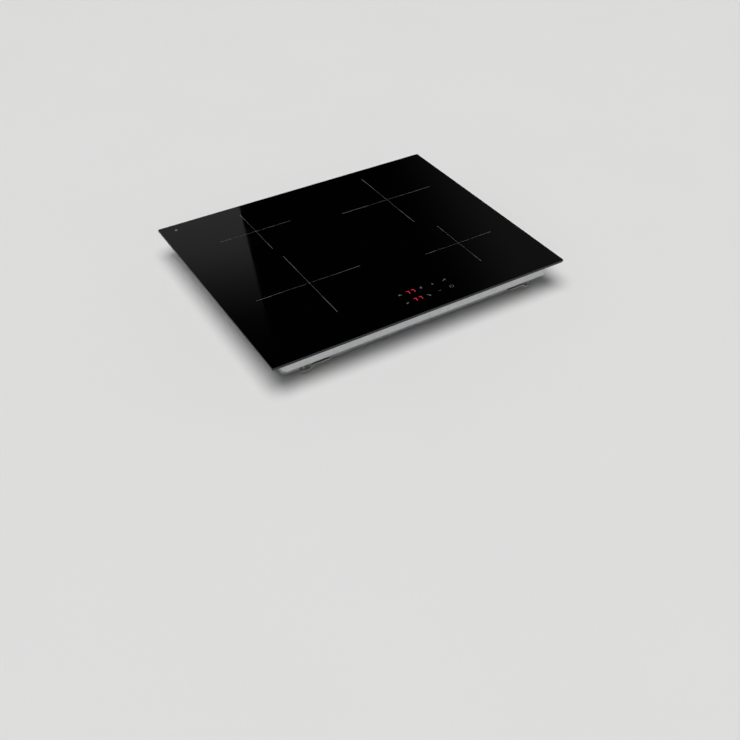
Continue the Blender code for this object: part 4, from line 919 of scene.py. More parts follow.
def hole_walls(holes, places):
    """The cut edge round each hole: its outline on both sides of the sheet."""
    return [sleeve([place(hole) for place in places]) for hole in holes]


def grille_holes():
    """Slots side by side in a circle under each fan, each as long as the circle is wide there."""
    rows = int(GRILLE_RADIUS / GRILLE_PITCH)
    holes = []
    for y in GRILLE_PITCH * np.arange(-rows, rows + 1):
        far = abs(y) + GRILLE_WIDTH / 2
        reach = math.sqrt(max(GRILLE_RADIUS ** 2 - far ** 2, 0.0)) - GRILLE_BRIDGE / 2
        if reach > 2 * GRILLE_WIDTH:
            offset = (GRILLE_BRIDGE + reach) / 2
            for x in (-FAN_X - offset, -FAN_X + offset, FAN_X - offset, FAN_X + offset):
                holes.append(stadium(reach, GRILLE_WIDTH, (x, FAN_Y + y), SLOT_STEPS))
    return holes


def dish_outlines(settings, inset):
    """The feet and the beads: each is an outline as a function of how far it has drawn in, and a depth."""
    foot_x = TRAY_HIGH.x - settings.ledge_side - FOOT_INSET
    foot_y = TRAY_HIGH.y - settings.ledge_depth - FOOT_INSET

    def foot(x, y):
        return lambda draw: circle(FOOT_RADIUS - inset - draw, (x, y))

    def bead(y):
        return lambda draw: stadium(BEAD_LENGTH - 2 * (inset + draw), BEAD_WIDTH - 2 * (inset + draw),
                                    (0.0, y), BEAD_STEPS)

    feet = [(foot(x, y), settings.foot_depth) for x in (-foot_x, foot_x) for y in (-foot_y, foot_y)]
    return feet + [(bead(y), BEAD_DEPTH) for y in BEAD_ROWS]


def pressing(outline_at, depth, top):
    """A dish pressed down from the floor.

    Its outline draws in evenly, while its height falls along half a cosine wave.
    """
    share = np.linspace(0.0, 1.0, DISH_RINGS)
    drop = (1 - np.cos(math.pi * share)) / 2
    rings = [at_height(outline_at(depth * s), top - depth * d) for s, d in zip(share, drop)]
    points, faces = sleeve(rings)
    last = len(points) - len(rings[0])
    return points, faces + [list(range(last, len(points)))]


def floor_parts(settings, edge):
    """Both skins of the floor with the grilles, the terminal opening, the feet and the beads."""
    front, rear = OPENING_Y
    opening = rounded_rectangle(2 * OPENING_X, rear - front, OPENING_CORNER, OPENING_STEPS)
    holes = grille_holes() + [opening + (0.0, (front + rear) / 2)]
    low, high = settings.foot_depth, settings.foot_depth + settings.sheet
    parts = []
    for z, inset in ((low, 0.0), (high, settings.sheet / 2)):
        dishes = dish_outlines(settings, inset)
        parts.append(flat_skin([edge] + holes + [outline_at(0.0) for outline_at, _ in dishes], level(z)))
        parts += [pressing(outline_at, depth, z) for outline_at, depth in dishes]
    return parts + hole_walls(holes, (level(low), level(high)))


def end_panel(settings, end, holes):
    """The flat front or rear of the lower wall, on both sides of the sheet, round its openings."""
    reach = TRAY_HIGH.x - settings.ledge_side - settings.corner
    low = settings.foot_depth + settings.bend
    high = settings.ledge_height - settings.ledge_bend
    outer = TRAY_HIGH.y - settings.ledge_depth
    border = np.array([(-reach, low), (reach, low), (reach, high), (-reach, high)])
    sides = (upright(end * outer), upright(end * (outer - settings.sheet)))
    return [flat_skin([border] + holes, side) for side in sides] + hole_walls(holes, sides)


class HOB_OT_tray(bpy.types.Operator):
    """Presses the stepped tray with its feet, beads, grilles and vents"""

    bl_idname = "hob.tray"
    bl_label = "Tray"

    def execute(self, context):
        settings = context.scene.hob_tray
        outer, inner = tray_rings(settings, 0.0), tray_rings(settings, settings.sheet)
        low = settings.foot_depth + settings.bend + VENT_MARGIN
        high = settings.ledge_height - settings.ledge_bend - VENT_MARGIN
        vent = stadium(high - low, VENT_WIDTH, (0.0, 0.0), SLOT_STEPS)[:, ::-1]
        columns = (np.arange(VENT_COUNT) - (VENT_COUNT - 1) / 2) * VENT_PITCH
        vents = [vent + (x, (low + high) / 2) for x in columns]
        inlet = circle(INLET_HOLE, (0.0, (GROMMET_LOW.z + GROMMET_HIGH.z) / 2))
        parts = [wall_skin(outer), wall_skin(inner), sleeve([outer[-1], inner[-1]])]
        parts += floor_parts(settings, outer[0][:, :2])
        parts += end_panel(settings, -1, vents) + end_panel(settings, 1, [inlet])
        make_piece("pressed_tray", gather(parts), [zinc_steel(settings.steel)],
                   ["bottom_tray"], weld=True)
        return {"FINISHED"}


# Screws

HEAD_SIDES = 48
HEAD_RINGS = np.concatenate([np.linspace(0.02, 0.92, 13), [0.97, 1.0]])[:, None]
HEAD_FALL = 0.4
DRIVE_DEPTH = 0.5
DRIVE_WALL = (0.2, 0.11)
DRIVE_END = 0.14
CROSS_REACH = 0.6
SLOT_REACH = 1.2
WALL_SCREW = (0.0032, 0.0018)
WALL_SCREW_Z = 0.043
WALL_SCREW_SIDE = (-0.150, 0.0, 0.150)
WALL_SCREW_END = (-0.200, -0.070, 0.070, 0.200)
FLOOR_SCREW = (0.0033, 0.0016)
FLOOR_SCREWS = ((0.037, -0.194), (0.037, 0.074), (0.241, -0.060), (0.241, 0.074), (FAN_X, 0.2085),
                (FAN_X - 0.050, FAN_Y), (FAN_X + 0.0535, FAN_Y))


def screw_head(radius, height, slotted=False):
    """A low dome whose height falls with the square of the radius, with its drive pressed in.

    The drive lies along one axis for a slot and along two for a cross, and its walls are smooth steps.
    """
    angle = np.linspace(0.0, FULL_CIRCLE, HEAD_SIDES, endpoint=False)
    x, y = HEAD_RINGS * np.cos(angle), HEAD_RINGS * np.sin(angle)
    across = np.abs(y) if slotted else np.minimum(np.abs(x), np.abs(y))
    along = np.abs(x) if slotted else np.maximum(np.abs(x), np.abs(y))
    reach = SLOT_REACH if slotted else CROSS_REACH
    drive = smooth_step(across, *DRIVE_WALL) * smooth_step(along, reach, reach - DRIVE_END)
    z = height * (1 - HEAD_FALL * HEAD_RINGS ** 2) - DRIVE_DEPTH * height * drive
    top = np.stack([x * radius, y * radius, z], axis=-1)
    foot = np.stack([radius * np.cos(angle), radius * np.sin(angle), np.zeros_like(angle)], axis=-1)
    return capped(np.concatenate([top, foot[None]]))


class HOB_OT_tray_screws(bpy.types.Operator):
    """Sets the screws that hold the tray to the glass's rails and the inner carriers to its floor"""

    bl_idname = "hob.tray_screws"
    bl_label = "Tray screws"

    def execute(self, context):
        steel = screw_steel(context.scene.hob_finish)
        right, back = TRAY_HIGH.x, TRAY_HIGH.y
        places = [(FACING_RIGHT, (right, y, WALL_SCREW_Z)) for y in WALL_SCREW_SIDE]
        places += [(FACING_LEFT, (-right, y, WALL_SCREW_Z)) for y in WALL_SCREW_SIDE]
        places += [(FACING_REAR, (x, back, WALL_SCREW_Z)) for x in WALL_SCREW_END]
        places += [(FACING_FRONT, (x, -back, WALL_SCREW_Z)) for x in WALL_SCREW_END]
        make_piece("wall_screws", copies(screw_head(*WALL_SCREW), places), [steel])
        floor = context.scene.hob_tray.foot_depth
        places = [(FACING_DOWN, (side * x, y, floor)) for x, y in FLOOR_SCREWS for _, side in SIDES]
        make_piece("floor_screws", copies(screw_head(*FLOOR_SCREW), places), [steel])
        return {"FINISHED"}


# Clamps

CLAMP_STRIP = 0.0015
CLAMP_JOG = 0.006
CLAMP_WIDTH = 0.014
CLAMP_LENGTH = 0.048
CLAMP_RISE = (0.0092, 0.0168)
CLAMP_SQUARENESS = 0.22
CLAMP_SIDES = 20
# Angle at which the round foot starts, and the steps of the foot, the flat, the rise and the arm
FOOT_START = 0.02
FOOT_STEPS, FLAT_STEPS, RISE_STEPS, ARM_STEPS = 12, 4, 15, 8
THREAD_PITCH = 0.0008
THREAD_DEPTH = 0.00032
THREAD_FLANK = (0.15, 0.9)
THREAD_ROWS = 6
THREAD_SIDES = 24
SHANK = 0.0020
TIP_PAST = 0.0002
TIP_START = 0.0008
TIP_POWER = 0.25
HEAD_RADIUS = 0.0040
HEAD_HEIGHT = 0.0030


def clamp_strip():
    """A flat strip along X that steps up in a smooth S, with a round foot: a rectangle carried along it."""
    first, last = CLAMP_RISE
    foot = -CLAMP_WIDTH / 2 * np.cos(np.linspace(FOOT_START, math.pi / 2, FOOT_STEPS))
    flat = np.linspace(0.0, first, FLAT_STEPS)
    rise = np.linspace(first, last, RISE_STEPS)
    arm = np.linspace(last, CLAMP_LENGTH, ARM_STEPS)
    x = np.concatenate([foot[:-1], flat[:-1], rise[:-1], arm])
    z = CLAMP_JOG * smooth_step(x, first, last)
    slope = np.gradient(z, x)
    normal = unit(np.stack([-slope, np.ones_like(slope)], axis=-1))
    half = np.sqrt(np.maximum((CLAMP_WIDTH / 2) ** 2 - np.minimum(x, 0.0) ** 2, 0.0))
    section = squared_circle(CLAMP_SQUARENESS, CLAMP_SIDES)
    across = half[:, None] * section[:, 0]
    lift = CLAMP_STRIP / 2 * (1 + section[:, 1])
    return capped(np.stack([x[:, None] + normal[:, :1] * lift, across, z[:, None] + normal[:, 1:] * lift],
                           axis=-1))


def threaded_shank(low, high):
    """A thread: the radius falls with the distance from a helix, which climbs one pitch in a turn.

    Its last pitch narrows to a blunt tip.
    """
    z = np.linspace(low, high, int((high - low) / THREAD_PITCH * THREAD_ROWS))[:, None]
    angle = np.linspace(0.0, FULL_CIRCLE, THREAD_SIDES, endpoint=False)
    phase = np.abs((z / THREAD_PITCH - angle / FULL_CIRCLE) % 1.0 - 0.5) * 2
    radius = SHANK - THREAD_DEPTH * smooth_step(phase, *THREAD_FLANK)
    radius = radius * smooth_step(z, high + TIP_PAST, high - TIP_START) ** TIP_POWER
    z = np.broadcast_to(z, radius.shape)
    return capped(np.stack([radius * np.cos(angle), radius * np.sin(angle), z], axis=-1))


class HOB_OT_clamps(bpy.types.Operator):
    """Makes the swivelling clamps and the screws that they turn on"""

    bl_idname = "hob.clamps"
    bl_label = "Clamps"

    def execute(self, context):
        finishes = context.scene.hob_finish
        spring = brushed_metal("spring_steel", finishes.clamps, roughness=0.34, along=(0.06, 1.0, 1.0))
        steel = screw_steel(finishes)
        for corner, sign in [(end + "_" + side, sign) for end in ENDS for side, sign in SIDES]:
            low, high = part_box("clamp_screw_" + corner)
            pivot = middle_of("clamp_screw_" + corner) * ON_THE_FLOOR
            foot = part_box("clamp_" + corner)[0].z
            inwards = np.diag([-sign, -sign, 1.0])
            strip = copies(clamp_strip(), [(inwards, pivot + (0.0, 0.0, foot))])
            make_piece("clamp_strip_" + corner, strip, [spring], ["clamp_" + corner],
                       body=corner + "_clamp")
            neck = low.z + HEAD_HEIGHT
            head = copies(screw_head(HEAD_RADIUS, HEAD_HEIGHT), [(FACING_DOWN, (0.0, 0.0, neck))])
            screw = moved(gather([head, threaded_shank(neck, high.z)]), pivot)
            make_piece("pivot_screw_" + corner, screw, [steel], ["clamp_screw_" + corner])
        return {"FINISHED"}


# Mains terminals

GROMMET_BORE = 0.0055
GROMMET_NECK = 0.0072
GROMMET_FLANGE = 0.0085
GROMMET_LIP = 0.0014
GROMMET_ROUND = 0.0005
GROMMET_ROUND_STEPS = 4
GROMMET_SIDES = 48
TERMINAL_SCREW = (0.0042, 0.0020)
TERMINAL_STEP = 0.004
POLES = (-0.028, -0.014, 0.0, 0.014, 0.028)
GRIP_RIBS = 5
GRIP_LENGTH = 0.026
GRIP_PITCH = 0.0026
GRIP_WIDTH = 0.0011
GRIP_HEIGHT = 0.0005
GRIP_FROM_REAR = 0.0062
COVER_SCREW = (0.0030, 0.0012)
COVER_SCREW_X = 0.036


def grommet_rings():
    """A ring of rubber turned about Y, with a round-edged flange on each side of the wall."""
    first, last = GROMMET_LOW.y, GROMMET_HIGH.y
    edge, bore = GROMMET_FLANGE - GROMMET_ROUND, GROMMET_BORE + GROMMET_ROUND
    near = arc(GROMMET_ROUND, -90, 0, GROMMET_ROUND_STEPS, (edge, first + GROMMET_ROUND))
    far = arc(GROMMET_ROUND, 0, 90, GROMMET_ROUND_STEPS, (edge, last - GROMMET_ROUND))
    inner_lip, outer_lip = first + GROMMET_LIP, last - GROMMET_LIP
    groove = [(GROMMET_FLANGE, inner_lip), (GROMMET_NECK, inner_lip), (GROMMET_NECK, outer_lip),
              (GROMMET_FLANGE, outer_lip)]
    inside = [(bore, last), (GROMMET_BORE, last - GROMMET_ROUND), (GROMMET_BORE, first + GROMMET_ROUND)]
    turned = revolve(np.concatenate([[(bore, first)], near, groove, far, inside]), GROMMET_SIDES)
    middle = (GROMMET_LOW.z + GROMMET_HIGH.z) / 2
    return np.stack([turned[..., 0], turned[..., 2], middle - turned[..., 1]], axis=-1)


class HOB_OT_terminals(bpy.types.Operator):
    """Makes the inlet's grommet, the terminal screws, and the grip and screws of the terminal cover"""

    bl_idname = "hob.terminals"
    bl_label = "Mains terminals"

    def execute(self, context):
        finishes = context.scene.hob_finish
        rubber = soft_rubber("rubber", finishes.rubber, scale=900.0, depth=0.00004)
        make_piece("inlet_grommet", hoop(grommet_rings()), [rubber], ["cable_grommet"])
        brass = brushed_metal("terminal_brass", finishes.brass, roughness=0.3, along=(1.0, 1.0, 0.2))
        middle = (TERMINAL_LOW.y + TERMINAL_HIGH.y) / 2
        places = [(FACING_DOWN, (x, middle, TERMINAL_LOW.z + TERMINAL_STEP)) for x in POLES]
        make_piece("terminal_screws", copies(screw_head(*TERMINAL_SCREW, slotted=True), places), [brass])
        plastic = moulded_plastic("white_plastic_grip", finishes.white_plastic, roughness=0.45, spread=0.03)
        face, rear = COVER_LOW.z, COVER_HIGH.y - GRIP_FROM_REAR
        ribs = [ribbon([(-GRIP_LENGTH / 2, y), (GRIP_LENGTH / 2, y)], GRIP_WIDTH, face - GRIP_HEIGHT,
                       face + GRIP_HEIGHT) for y in rear - GRIP_PITCH * np.arange(GRIP_RIBS)]
        make_piece("cover_grip", gather(ribs), [plastic], body="cover")
        places = [(FACING_DOWN, (side * COVER_SCREW_X, rear, face)) for _, side in SIDES]
        make_piece("cover_screws", copies(screw_head(*COVER_SCREW), places), [screw_steel(finishes)],
                   body="cover")
        return {"FINISHED"}


# Windings

WIRE_WIDTH = 0.0050
WIRE_PITCH = 0.0065
WIRE_TURN_STEPS = 64
WIRE_SQUARENESS = 0.5
WIRE_SIDES = 14
COIL_INNER_RADIUS = 0.024
COIL_MARGIN = 0.005
STRAND_LAY = 0.018


def spiral(outer, low, high):
    """A flat spiral: the radius grows by one pitch in a turn, and a rounded rectangle is carried along it.

    At each end it goes on straight for the wire's width. The second result is the distance along it, as a
    number of turns of its strands.
    """
    turns = (outer - COIL_INNER_RADIUS - WIRE_WIDTH) / WIRE_PITCH
    angle = np.linspace(0.0, FULL_CIRCLE * turns, int(turns * WIRE_TURN_STEPS))
    angle = np.concatenate([angle[:1], angle, angle[-1:]])[:, None]
    straight = np.zeros_like(angle)
    straight[0], straight[-1] = -WIRE_WIDTH, WIRE_WIDTH
    section = squared_circle(WIRE_SQUARENESS, WIRE_SIDES)
    middle = COIL_INNER_RADIUS + WIRE_WIDTH / 2 + WIRE_PITCH * angle / FULL_CIRCLE
    radius = middle + WIRE_WIDTH / 2 * section[:, 0]
    x = radius * np.cos(angle) - straight * np.sin(angle)
    y = radius * np.sin(angle) + straight * np.cos(angle)
    z = (low + high) / 2 + (high - low) / 2 * section[:, 1]
    steps = np.diff(angle[:, 0]) * middle[1:, 0] + np.abs(np.diff(straight[:, 0]))
    length_along = np.concatenate([[0.0], np.cumsum(steps)])
    return np.stack([x, y, np.broadcast_to(z, x.shape)], axis=-1), length_along / STRAND_LAY


def unwrap(mesh, along, columns):
    """A UV map with the distance along the wire in U and the way round it in V."""
    layer = mesh.uv_layers.new(name="strand")
    corners = np.zeros(len(mesh.loops), np.int32)
    mesh.loops.foreach_get("vertex_index", corners)
    row, column = np.divmod(corners, columns)
    around = column / columns
    layer.data.foreach_set("uv", np.stack([along[row], around], axis=-1).astype(np.float32).ravel())


class HOB_OT_windings(bpy.types.Operator):
    """Winds the coils under the glass"""

    bl_idname = "hob.windings"
    bl_label = "Windings"

    def execute(self, context):
        copper = copper_strand(context.scene.hob_finish.copper)
        for zone in ZONES:
            low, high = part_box("coil_winding_" + zone)
            outer = mark_length(zone, context.scene.hob_glass) / 2 - COIL_MARGIN
            points, along = spiral(outer, low.z, high.z)
            points = points + middle_of("coil_mat_" + zone) * ON_THE_FLOOR
            coil = make_piece("litz_" + zone, capped(points), [copper], ["coil_winding_" + zone])
            unwrap(coil.data, along, points.shape[1])
        return {"FINISHED"}


# Mats and sensors

MAT_BORE = 0.011
MAT_ROUND = 0.0011
MAT_ROUND_STEPS = 5
MAT_SIDES = 72
SENSOR_CAP = 0.006
SENSOR_ROUND = 0.0012
PLUG_FOOT_STEPS = 4
PLUG_DOME_STEPS = 5
SENSOR_SIDES = 40


def heat_mat(zone):
    """A flat ring of board: a rounded rectangle turned about the zone's middle."""
    low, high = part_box("coil_mat_" + zone)
    rim = (high.x - low.x) / 2
    profile = rounded_rectangle(rim - MAT_BORE, high.z - low.z, MAT_ROUND, MAT_ROUND_STEPS)
    ring = hoop(revolve(profile + ((rim + MAT_BORE) / 2, 0.0), MAT_SIDES))
    return moved(ring, middle_of("coil_mat_" + zone))


def sensor_plug(zone):
    """A profile turned about Z: a round foot that narrows to a domed cap inside the winding."""
    low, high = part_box("coil_sensor_" + zone)
    wire_low, wire_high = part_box("coil_winding_" + zone)
    plug, edge = (high.x - low.x) / 2, SENSOR_ROUND
    foot = arc(edge / 2, -90, 0, PLUG_FOOT_STEPS, (plug - edge / 2, low.z + edge / 2))
    neck = [(plug, wire_low.z - edge / 2), (plug - edge / 2, wire_low.z), (SENSOR_CAP, wire_high.z)]
    dome = arc(edge, 0, 90, PLUG_DOME_STEPS, (SENSOR_CAP - edge, high.z - edge))
    turned = revolve(np.concatenate([foot, neck, dome]), SENSOR_SIDES)
    return moved(capped(turned), middle_of("coil_mat_" + zone) * ON_THE_FLOOR)


class HOB_OT_mats(bpy.types.Operator):
    """Lays the insulating mats and their sensors on the coils"""

    bl_idname = "hob.mats"
    bl_label = "Mats and sensors"

    def execute(self, context):
        finishes = context.scene.hob_finish
        mats = gather([heat_mat(zone) for zone in ZONES])
        make_piece("heat_mats", mats, [mica_board(finishes.mica)],
                   ["coil_mat_" + zone for zone in ZONES])
        silicone = soft_rubber("silicone", finishes.silicone, scale=1200.0, depth=0.00003)
        plugs = gather([sensor_plug(zone) for zone in ZONES])
        make_piece("sensor_plugs", plugs, [silicone], ["coil_sensor_" + zone for zone in ZONES])
        return {"FINISHED"}


# Ribbon cable

RIBBON_WIRES = 10
RIBBON_THICKNESS = 0.001
RIBBON_WAIST = 0.5
# Height below which the cable has slack
RIBBON_SLACK = 0.0361
DROP_STEPS = 4
RIBBON_STEPS = 40
RIDGE_STEPS = 8


def ribbon_rings(low, high):
    """A flat cable: a section with a ridge for each wire, carried down a straight drop and a slack S.

    The S is one cosine wave across the drop, and the section stays square to it.
    """
    straight = np.linspace(high.z, RIBBON_SLACK, DROP_STEPS)[:-1]
    share = np.linspace(0.0, 1.0, RIBBON_STEPS)
    sway = high.y - low.y - RIBBON_THICKNESS
    z = np.concatenate([straight, RIBBON_SLACK + (low.z - RIBBON_SLACK) * share])
    y = np.concatenate([np.zeros_like(straight), sway * (1 - np.cos(FULL_CIRCLE * share)) / 2])
    y += low.y + RIBBON_THICKNESS / 2
    along = unit(np.gradient(np.stack([y, z], axis=-1), axis=0))
    across = np.linspace(0.0, 1.0, RIDGE_STEPS * RIBBON_WIRES + 1)
    swell = np.abs(np.sin(math.pi * RIBBON_WIRES * across))
    ridge = RIBBON_THICKNESS / 2 * (RIBBON_WAIST + (1 - RIBBON_WAIST) * swell)
    x = low.x + (high.x - low.x) * np.concatenate([across, across[::-1]])
    lift = np.concatenate([ridge, -ridge[::-1]])
    return np.stack([np.broadcast_to(x, (len(z), len(x))), y[:, None] - along[:, 1:] * lift,
                     z[:, None] + along[:, :1] * lift], axis=-1)


class HOB_OT_ribbon_cable(bpy.types.Operator):
    """Makes the flat cable from the keys to the power board"""

    bl_idname = "hob.ribbon_cable"
    bl_label = "Ribbon cable"

    def execute(self, context):
        rings = ribbon_rings(*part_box("touch_cable"))
        grey = moulded_plastic("ribbon_grey", context.scene.hob_finish.grey_plastic, roughness=0.5)
        make_piece("ribbon_cable", capped(rings), [grey], ["touch_cable"])
        return {"FINISHED"}


# Chokes

CHOKE_BORE = 0.007
CHOKE_TURNS = 11
CHOKE_TURN_STEPS = 24
CHOKE_STARTS = (20.0, 200.0)
CHOKE_SPAN = 140.0
CHOKE_SQUARENESS = 0.5
CORE_SIDES = 28
CORE_STEPS = 56
WIRE_RADIUS = 0.0008
ROUND_WIRE_SIDES = 8


def wound_wire(start, half_width, half_height, radius, centre):
    """A round wire on a helix about a ring core.

    It goes round the core's section, on a superellipse, as it moves along the ring.
    """
    share = np.linspace(0.0, 1.0, CHOKE_TURNS * CHOKE_TURN_STEPS)
    ring = np.radians(start + CHOKE_SPAN * share)
    turn = FULL_CIRCLE * CHOKE_TURNS * share - math.pi / 2
    side, up = np.cos(turn), np.sin(turn)
    across = radius + half_width * squared(side, CHOKE_SQUARENESS)
    height = half_height * squared(up, CHOKE_SQUARENESS)
    path = np.stack([across * np.cos(ring), across * np.sin(ring), height], axis=-1)
    away = np.stack([side * np.cos(ring), side * np.sin(ring), up], axis=-1)
    return tube(path + centre, away, WIRE_RADIUS, ROUND_WIRE_SIDES)


class HOB_OT_chokes(bpy.types.Operator):
    """Winds the two halves of each choke on its ring core"""

    bl_idname = "hob.chokes"
    bl_label = "Chokes"

    def execute(self, context):
        finishes = context.scene.hob_finish
        varnish = moulded_plastic("choke_core", finishes.cores, roughness=0.3, spread=0.15)
        enamel = brushed_metal("enamelled_wire", finishes.enamel, roughness=0.3, along=(1.0, 1.0, 1.0))
        for side, _ in SIDES:
            low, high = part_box("choke_" + side)
            centre = middle_of("choke_" + side)
            outer = (high.x - low.x) / 2
            radius = (outer + CHOKE_BORE) / 2
            half_width = (outer - CHOKE_BORE) / 2 - WIRE_RADIUS
            half_height = (high.z - low.z) / 2 - WIRE_RADIUS
            section = squared_circle(CHOKE_SQUARENESS, CORE_SIDES)
            section = section * (half_width - WIRE_RADIUS, half_height - WIRE_RADIUS) + (radius, 0.0)
            core = moved(hoop(revolve(section, CORE_STEPS)), centre)
            make_piece("ring_core_" + side, core, [varnish], ["choke_" + side])
            halves = [wound_wire(start, half_width, half_height, radius, centre) for start in CHOKE_STARTS]
            make_piece("choke_winding_" + side, gather(halves), [enamel])
        return {"FINISHED"}


# Key board

KEY_BOARD = 0.0016
KEY_BOARD_CORNER = 0.0015
KEY_BOARD_CORNER_STEPS = 4
KEY_RADIUS = 0.0042
KEY_COLUMNS = (-0.0220, 0.0235, 0.0470, 0.0725)
KEY_ROWS = (-0.1915, -0.2180)
SPRING_WIRE = 0.0003
SPRING_TURNS = 5
SPRING_TURN_STEPS = 24
SPRING_TAPER = 0.2
SPRING_CLIMB = (0.1, 0.9)
THIN_WIRE_SIDES = 6
DISPLAY_EDGE = 0.0005
FACE_MARGIN = 0.0008
FACE_CORNER_STEPS = 3
FACE_PLATE = 0.0001
DISPLAYS = ((ROW_REAR, "display_rear"), (ROW_FRONT, "display_front"))


def key_spring():
    """A round wire on a helix about Z that lies flat at both ends and narrows upwards."""
    low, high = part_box("touch_board")
    share = np.linspace(0.0, 1.0, SPRING_TURNS * SPRING_TURN_STEPS)
    turn = FULL_CIRCLE * SPRING_TURNS * share
    radius = KEY_RADIUS * (1 - SPRING_TAPER * share)
    first, last = low.z + KEY_BOARD + SPRING_WIRE, high.z - SPRING_WIRE
    rise = first + (last - first) * smooth_step(share, *SPRING_CLIMB)
    path = np.stack([radius * np.cos(turn), radius * np.sin(turn), rise], axis=-1)
    return tube(path, path * ON_THE_FLOOR, SPRING_WIRE, THIN_WIRE_SIDES)


def plate_over(node, margin, corner, steps):
    """The outline of a solid seen from above, drawn in by a margin, with round corners."""
    low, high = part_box(node)
    outline = rounded_rectangle(high.x - low.x - 2 * margin, high.y - low.y - 2 * margin, corner, steps)
    return outline + middle_of(node)[:2]


class HOB_OT_key_board(bpy.types.Operator):
    """Makes the board under the keys, with a spring for each key and the two displays"""

    bl_idname = "hob.key_board"
    bl_label = "Key board"

    def execute(self, context):
        finishes = context.scene.hob_finish
        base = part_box("touch_board")[0].z
        outline = plate_over("touch_board", 0.0, KEY_BOARD_CORNER, KEY_BOARD_CORNER_STEPS)
        board = slab(outline, base, base + KEY_BOARD)
        make_piece("key_board", board, [circuit_board(finishes.boards)], ["touch_board"])
        steel = brushed_metal("key_spring", finishes.key_springs, roughness=0.28, along=(1.0, 1.0, 1.0))
        springs = copies(key_spring(), [(FACING_UP, (x, y, 0.0)) for x in KEY_COLUMNS for y in KEY_ROWS])
        make_piece("key_springs", springs, [steel])
        names = [name for _, name in DISPLAYS]
        white = moulded_plastic("display_case", finishes.white_plastic, roughness=0.5, spread=0.03)
        cases = gather([block_for(name, DISPLAY_EDGE) for name in names])
        make_piece("display_cases", cases, [white], names)
        plates, bars = [], []
        for row, name in DISPLAYS:
            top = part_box(name)[1].z
            face = plate_over(name, FACE_MARGIN, FACE_MARGIN, FACE_CORNER_STEPS)
            plates.append(slab(face, top - FACE_PLATE, top + FACE_PLATE))
            for column in COLUMN_DIGITS:
                bars += digit_bars((column, row), top + FACE_PLATE, ALL_BARS, context.scene.hob_glass)
        black = moulded_plastic("display_face", finishes.display_face, roughness=0.6)
        make_piece("display_faces", gather(plates), [black])
        pale = moulded_plastic("display_bar", finishes.display_bar, roughness=0.4, spread=0.03)
        make_piece("display_bars", gather(bars), [pale])
        return {"FINISHED"}


# Small parts on the power boards

# Blocks: width, depth, height and radius of the edges
RELAY = (0.0195, 0.0155, 0.0150, 0.0010)
SWITCH = (0.0048, 0.0156, 0.0170, 0.0006)
CHIP = (0.0039, 0.0050, 0.0014, 0.0002)
SOCKET_BASE = (0.0180, 0.0070, 0.0050, 0.0005)
SOCKET_PINS = (0.0160, 0.0040, 0.0090, 0.0005)

# Thickness, width and height of a switch's leg, and width and height of a chip's
SWITCH_LEG = (0.0006, 0.0012, 0.0032)
CHIP_LEG = (0.0004, 0.0005)
SWITCH_LIFT = 0.003
SWITCH_LEGS_Y = (-0.0054, 0.0, 0.0054)
CHIP_LIFT = 0.0002
CHIP_LEGS_Y = -0.0019 + 0.00127 * np.arange(4)
CHIP_LEG_X = (0.0018, 0.0031)
CAN_RADIUS = 0.006
CAN_HEIGHT = 0.016
CAN_EDGE = 0.0008
CAN_EDGE_STEPS = 4
CAN_GROOVE = 0.0006
CAN_GROOVE_CENTRE = (0.0062, 0.0022)
CAN_GROOVE_STEPS = 6
# Radius at distances from the middle
RESISTOR_END = np.array([(0.35, 3.2), (1.0, 3.05), (1.2, 2.5), (0.95, 1.7)]) * MILLIMETRE
RESISTOR_LIFT = 0.0016
RESISTOR_SIDES = 16
LEG_START = 0.0030
LEG_END = 0.0050
LEG_BEND = 0.0006
LEG_BEND_STEPS = 4
LEG_RADIUS = 0.0003
CAPACITOR_EDGE = 0.0012

# Places on a board: a turn, x from the line through its fan, and y
RELAYS = [(FACING_UP, -0.082, y) for y in (0.070, 0.047, 0.024)]
SWITCHES = [(FACING_UP, 0.0682, y) for y in (-0.025, 0.000, 0.025, 0.050)]
CHIPS = [(FACING_UP, x, y) for x in (-0.060, -0.020, 0.020, 0.060) for y in (-0.085, -0.125)]
SOCKETS = [(QUARTER_TURN, 0.105, y) for y in (-0.060, -0.085, -0.110)]
SOCKETS += [(FACING_UP, -0.095, y) for y in (-0.090, -0.110)]
CANS = [(FACING_UP, x, y) for x in (-0.100, -0.084) for y in (-0.025, -0.045)]
RESISTORS = [(FACING_UP, x, y) for x in np.arange(-0.04, 0.09, 0.016) for y in (-0.155, -0.165)]
RESISTORS += [(QUARTER_TURN, x, -0.185) for x in np.arange(-0.04, 0.09, 0.008)]


def on_boards(part, places):
    """A part set at the same places on both power boards."""
    return copies(part, [(turn, (side * FAN_X + x, y, BOARD_TOP))
                         for turn, x, y in places for _, side in SIDES])


def switch():
    """A power switch that stands on three flat legs."""
    thick, width, height = SWITCH_LEG
    legs = [ribbon([(-thick / 2, y), (thick / 2, y)], width, 0.0, height) for y in SWITCH_LEGS_Y]
    return gather([moved(block(*SWITCH), (0.0, 0.0, SWITCH_LIFT))] + legs)


def chip():
    """A flat package with four legs on each long side."""
    width, height = CHIP_LEG
    legs = [ribbon([(side * x, y) for x in CHIP_LEG_X], width, 0.0, height)
            for side in (-1, 1) for y in CHIP_LEGS_Y]
    return gather([moved(block(*CHIP), (0.0, 0.0, CHIP_LIFT))] + legs)


def can():
    """A capacitor's can: a profile with a rolled groove over its foot, turned about Z."""
    groove = arc(CAN_GROOVE, 250, 110, CAN_GROOVE_STEPS, CAN_GROOVE_CENTRE)
    crown = arc(CAN_EDGE, 0, 90, CAN_EDGE_STEPS, (CAN_RADIUS - CAN_EDGE, CAN_HEIGHT - CAN_EDGE))
    return capped(revolve(np.concatenate([[(CAN_RADIUS, 0.0)], groove, crown]), ROUND))


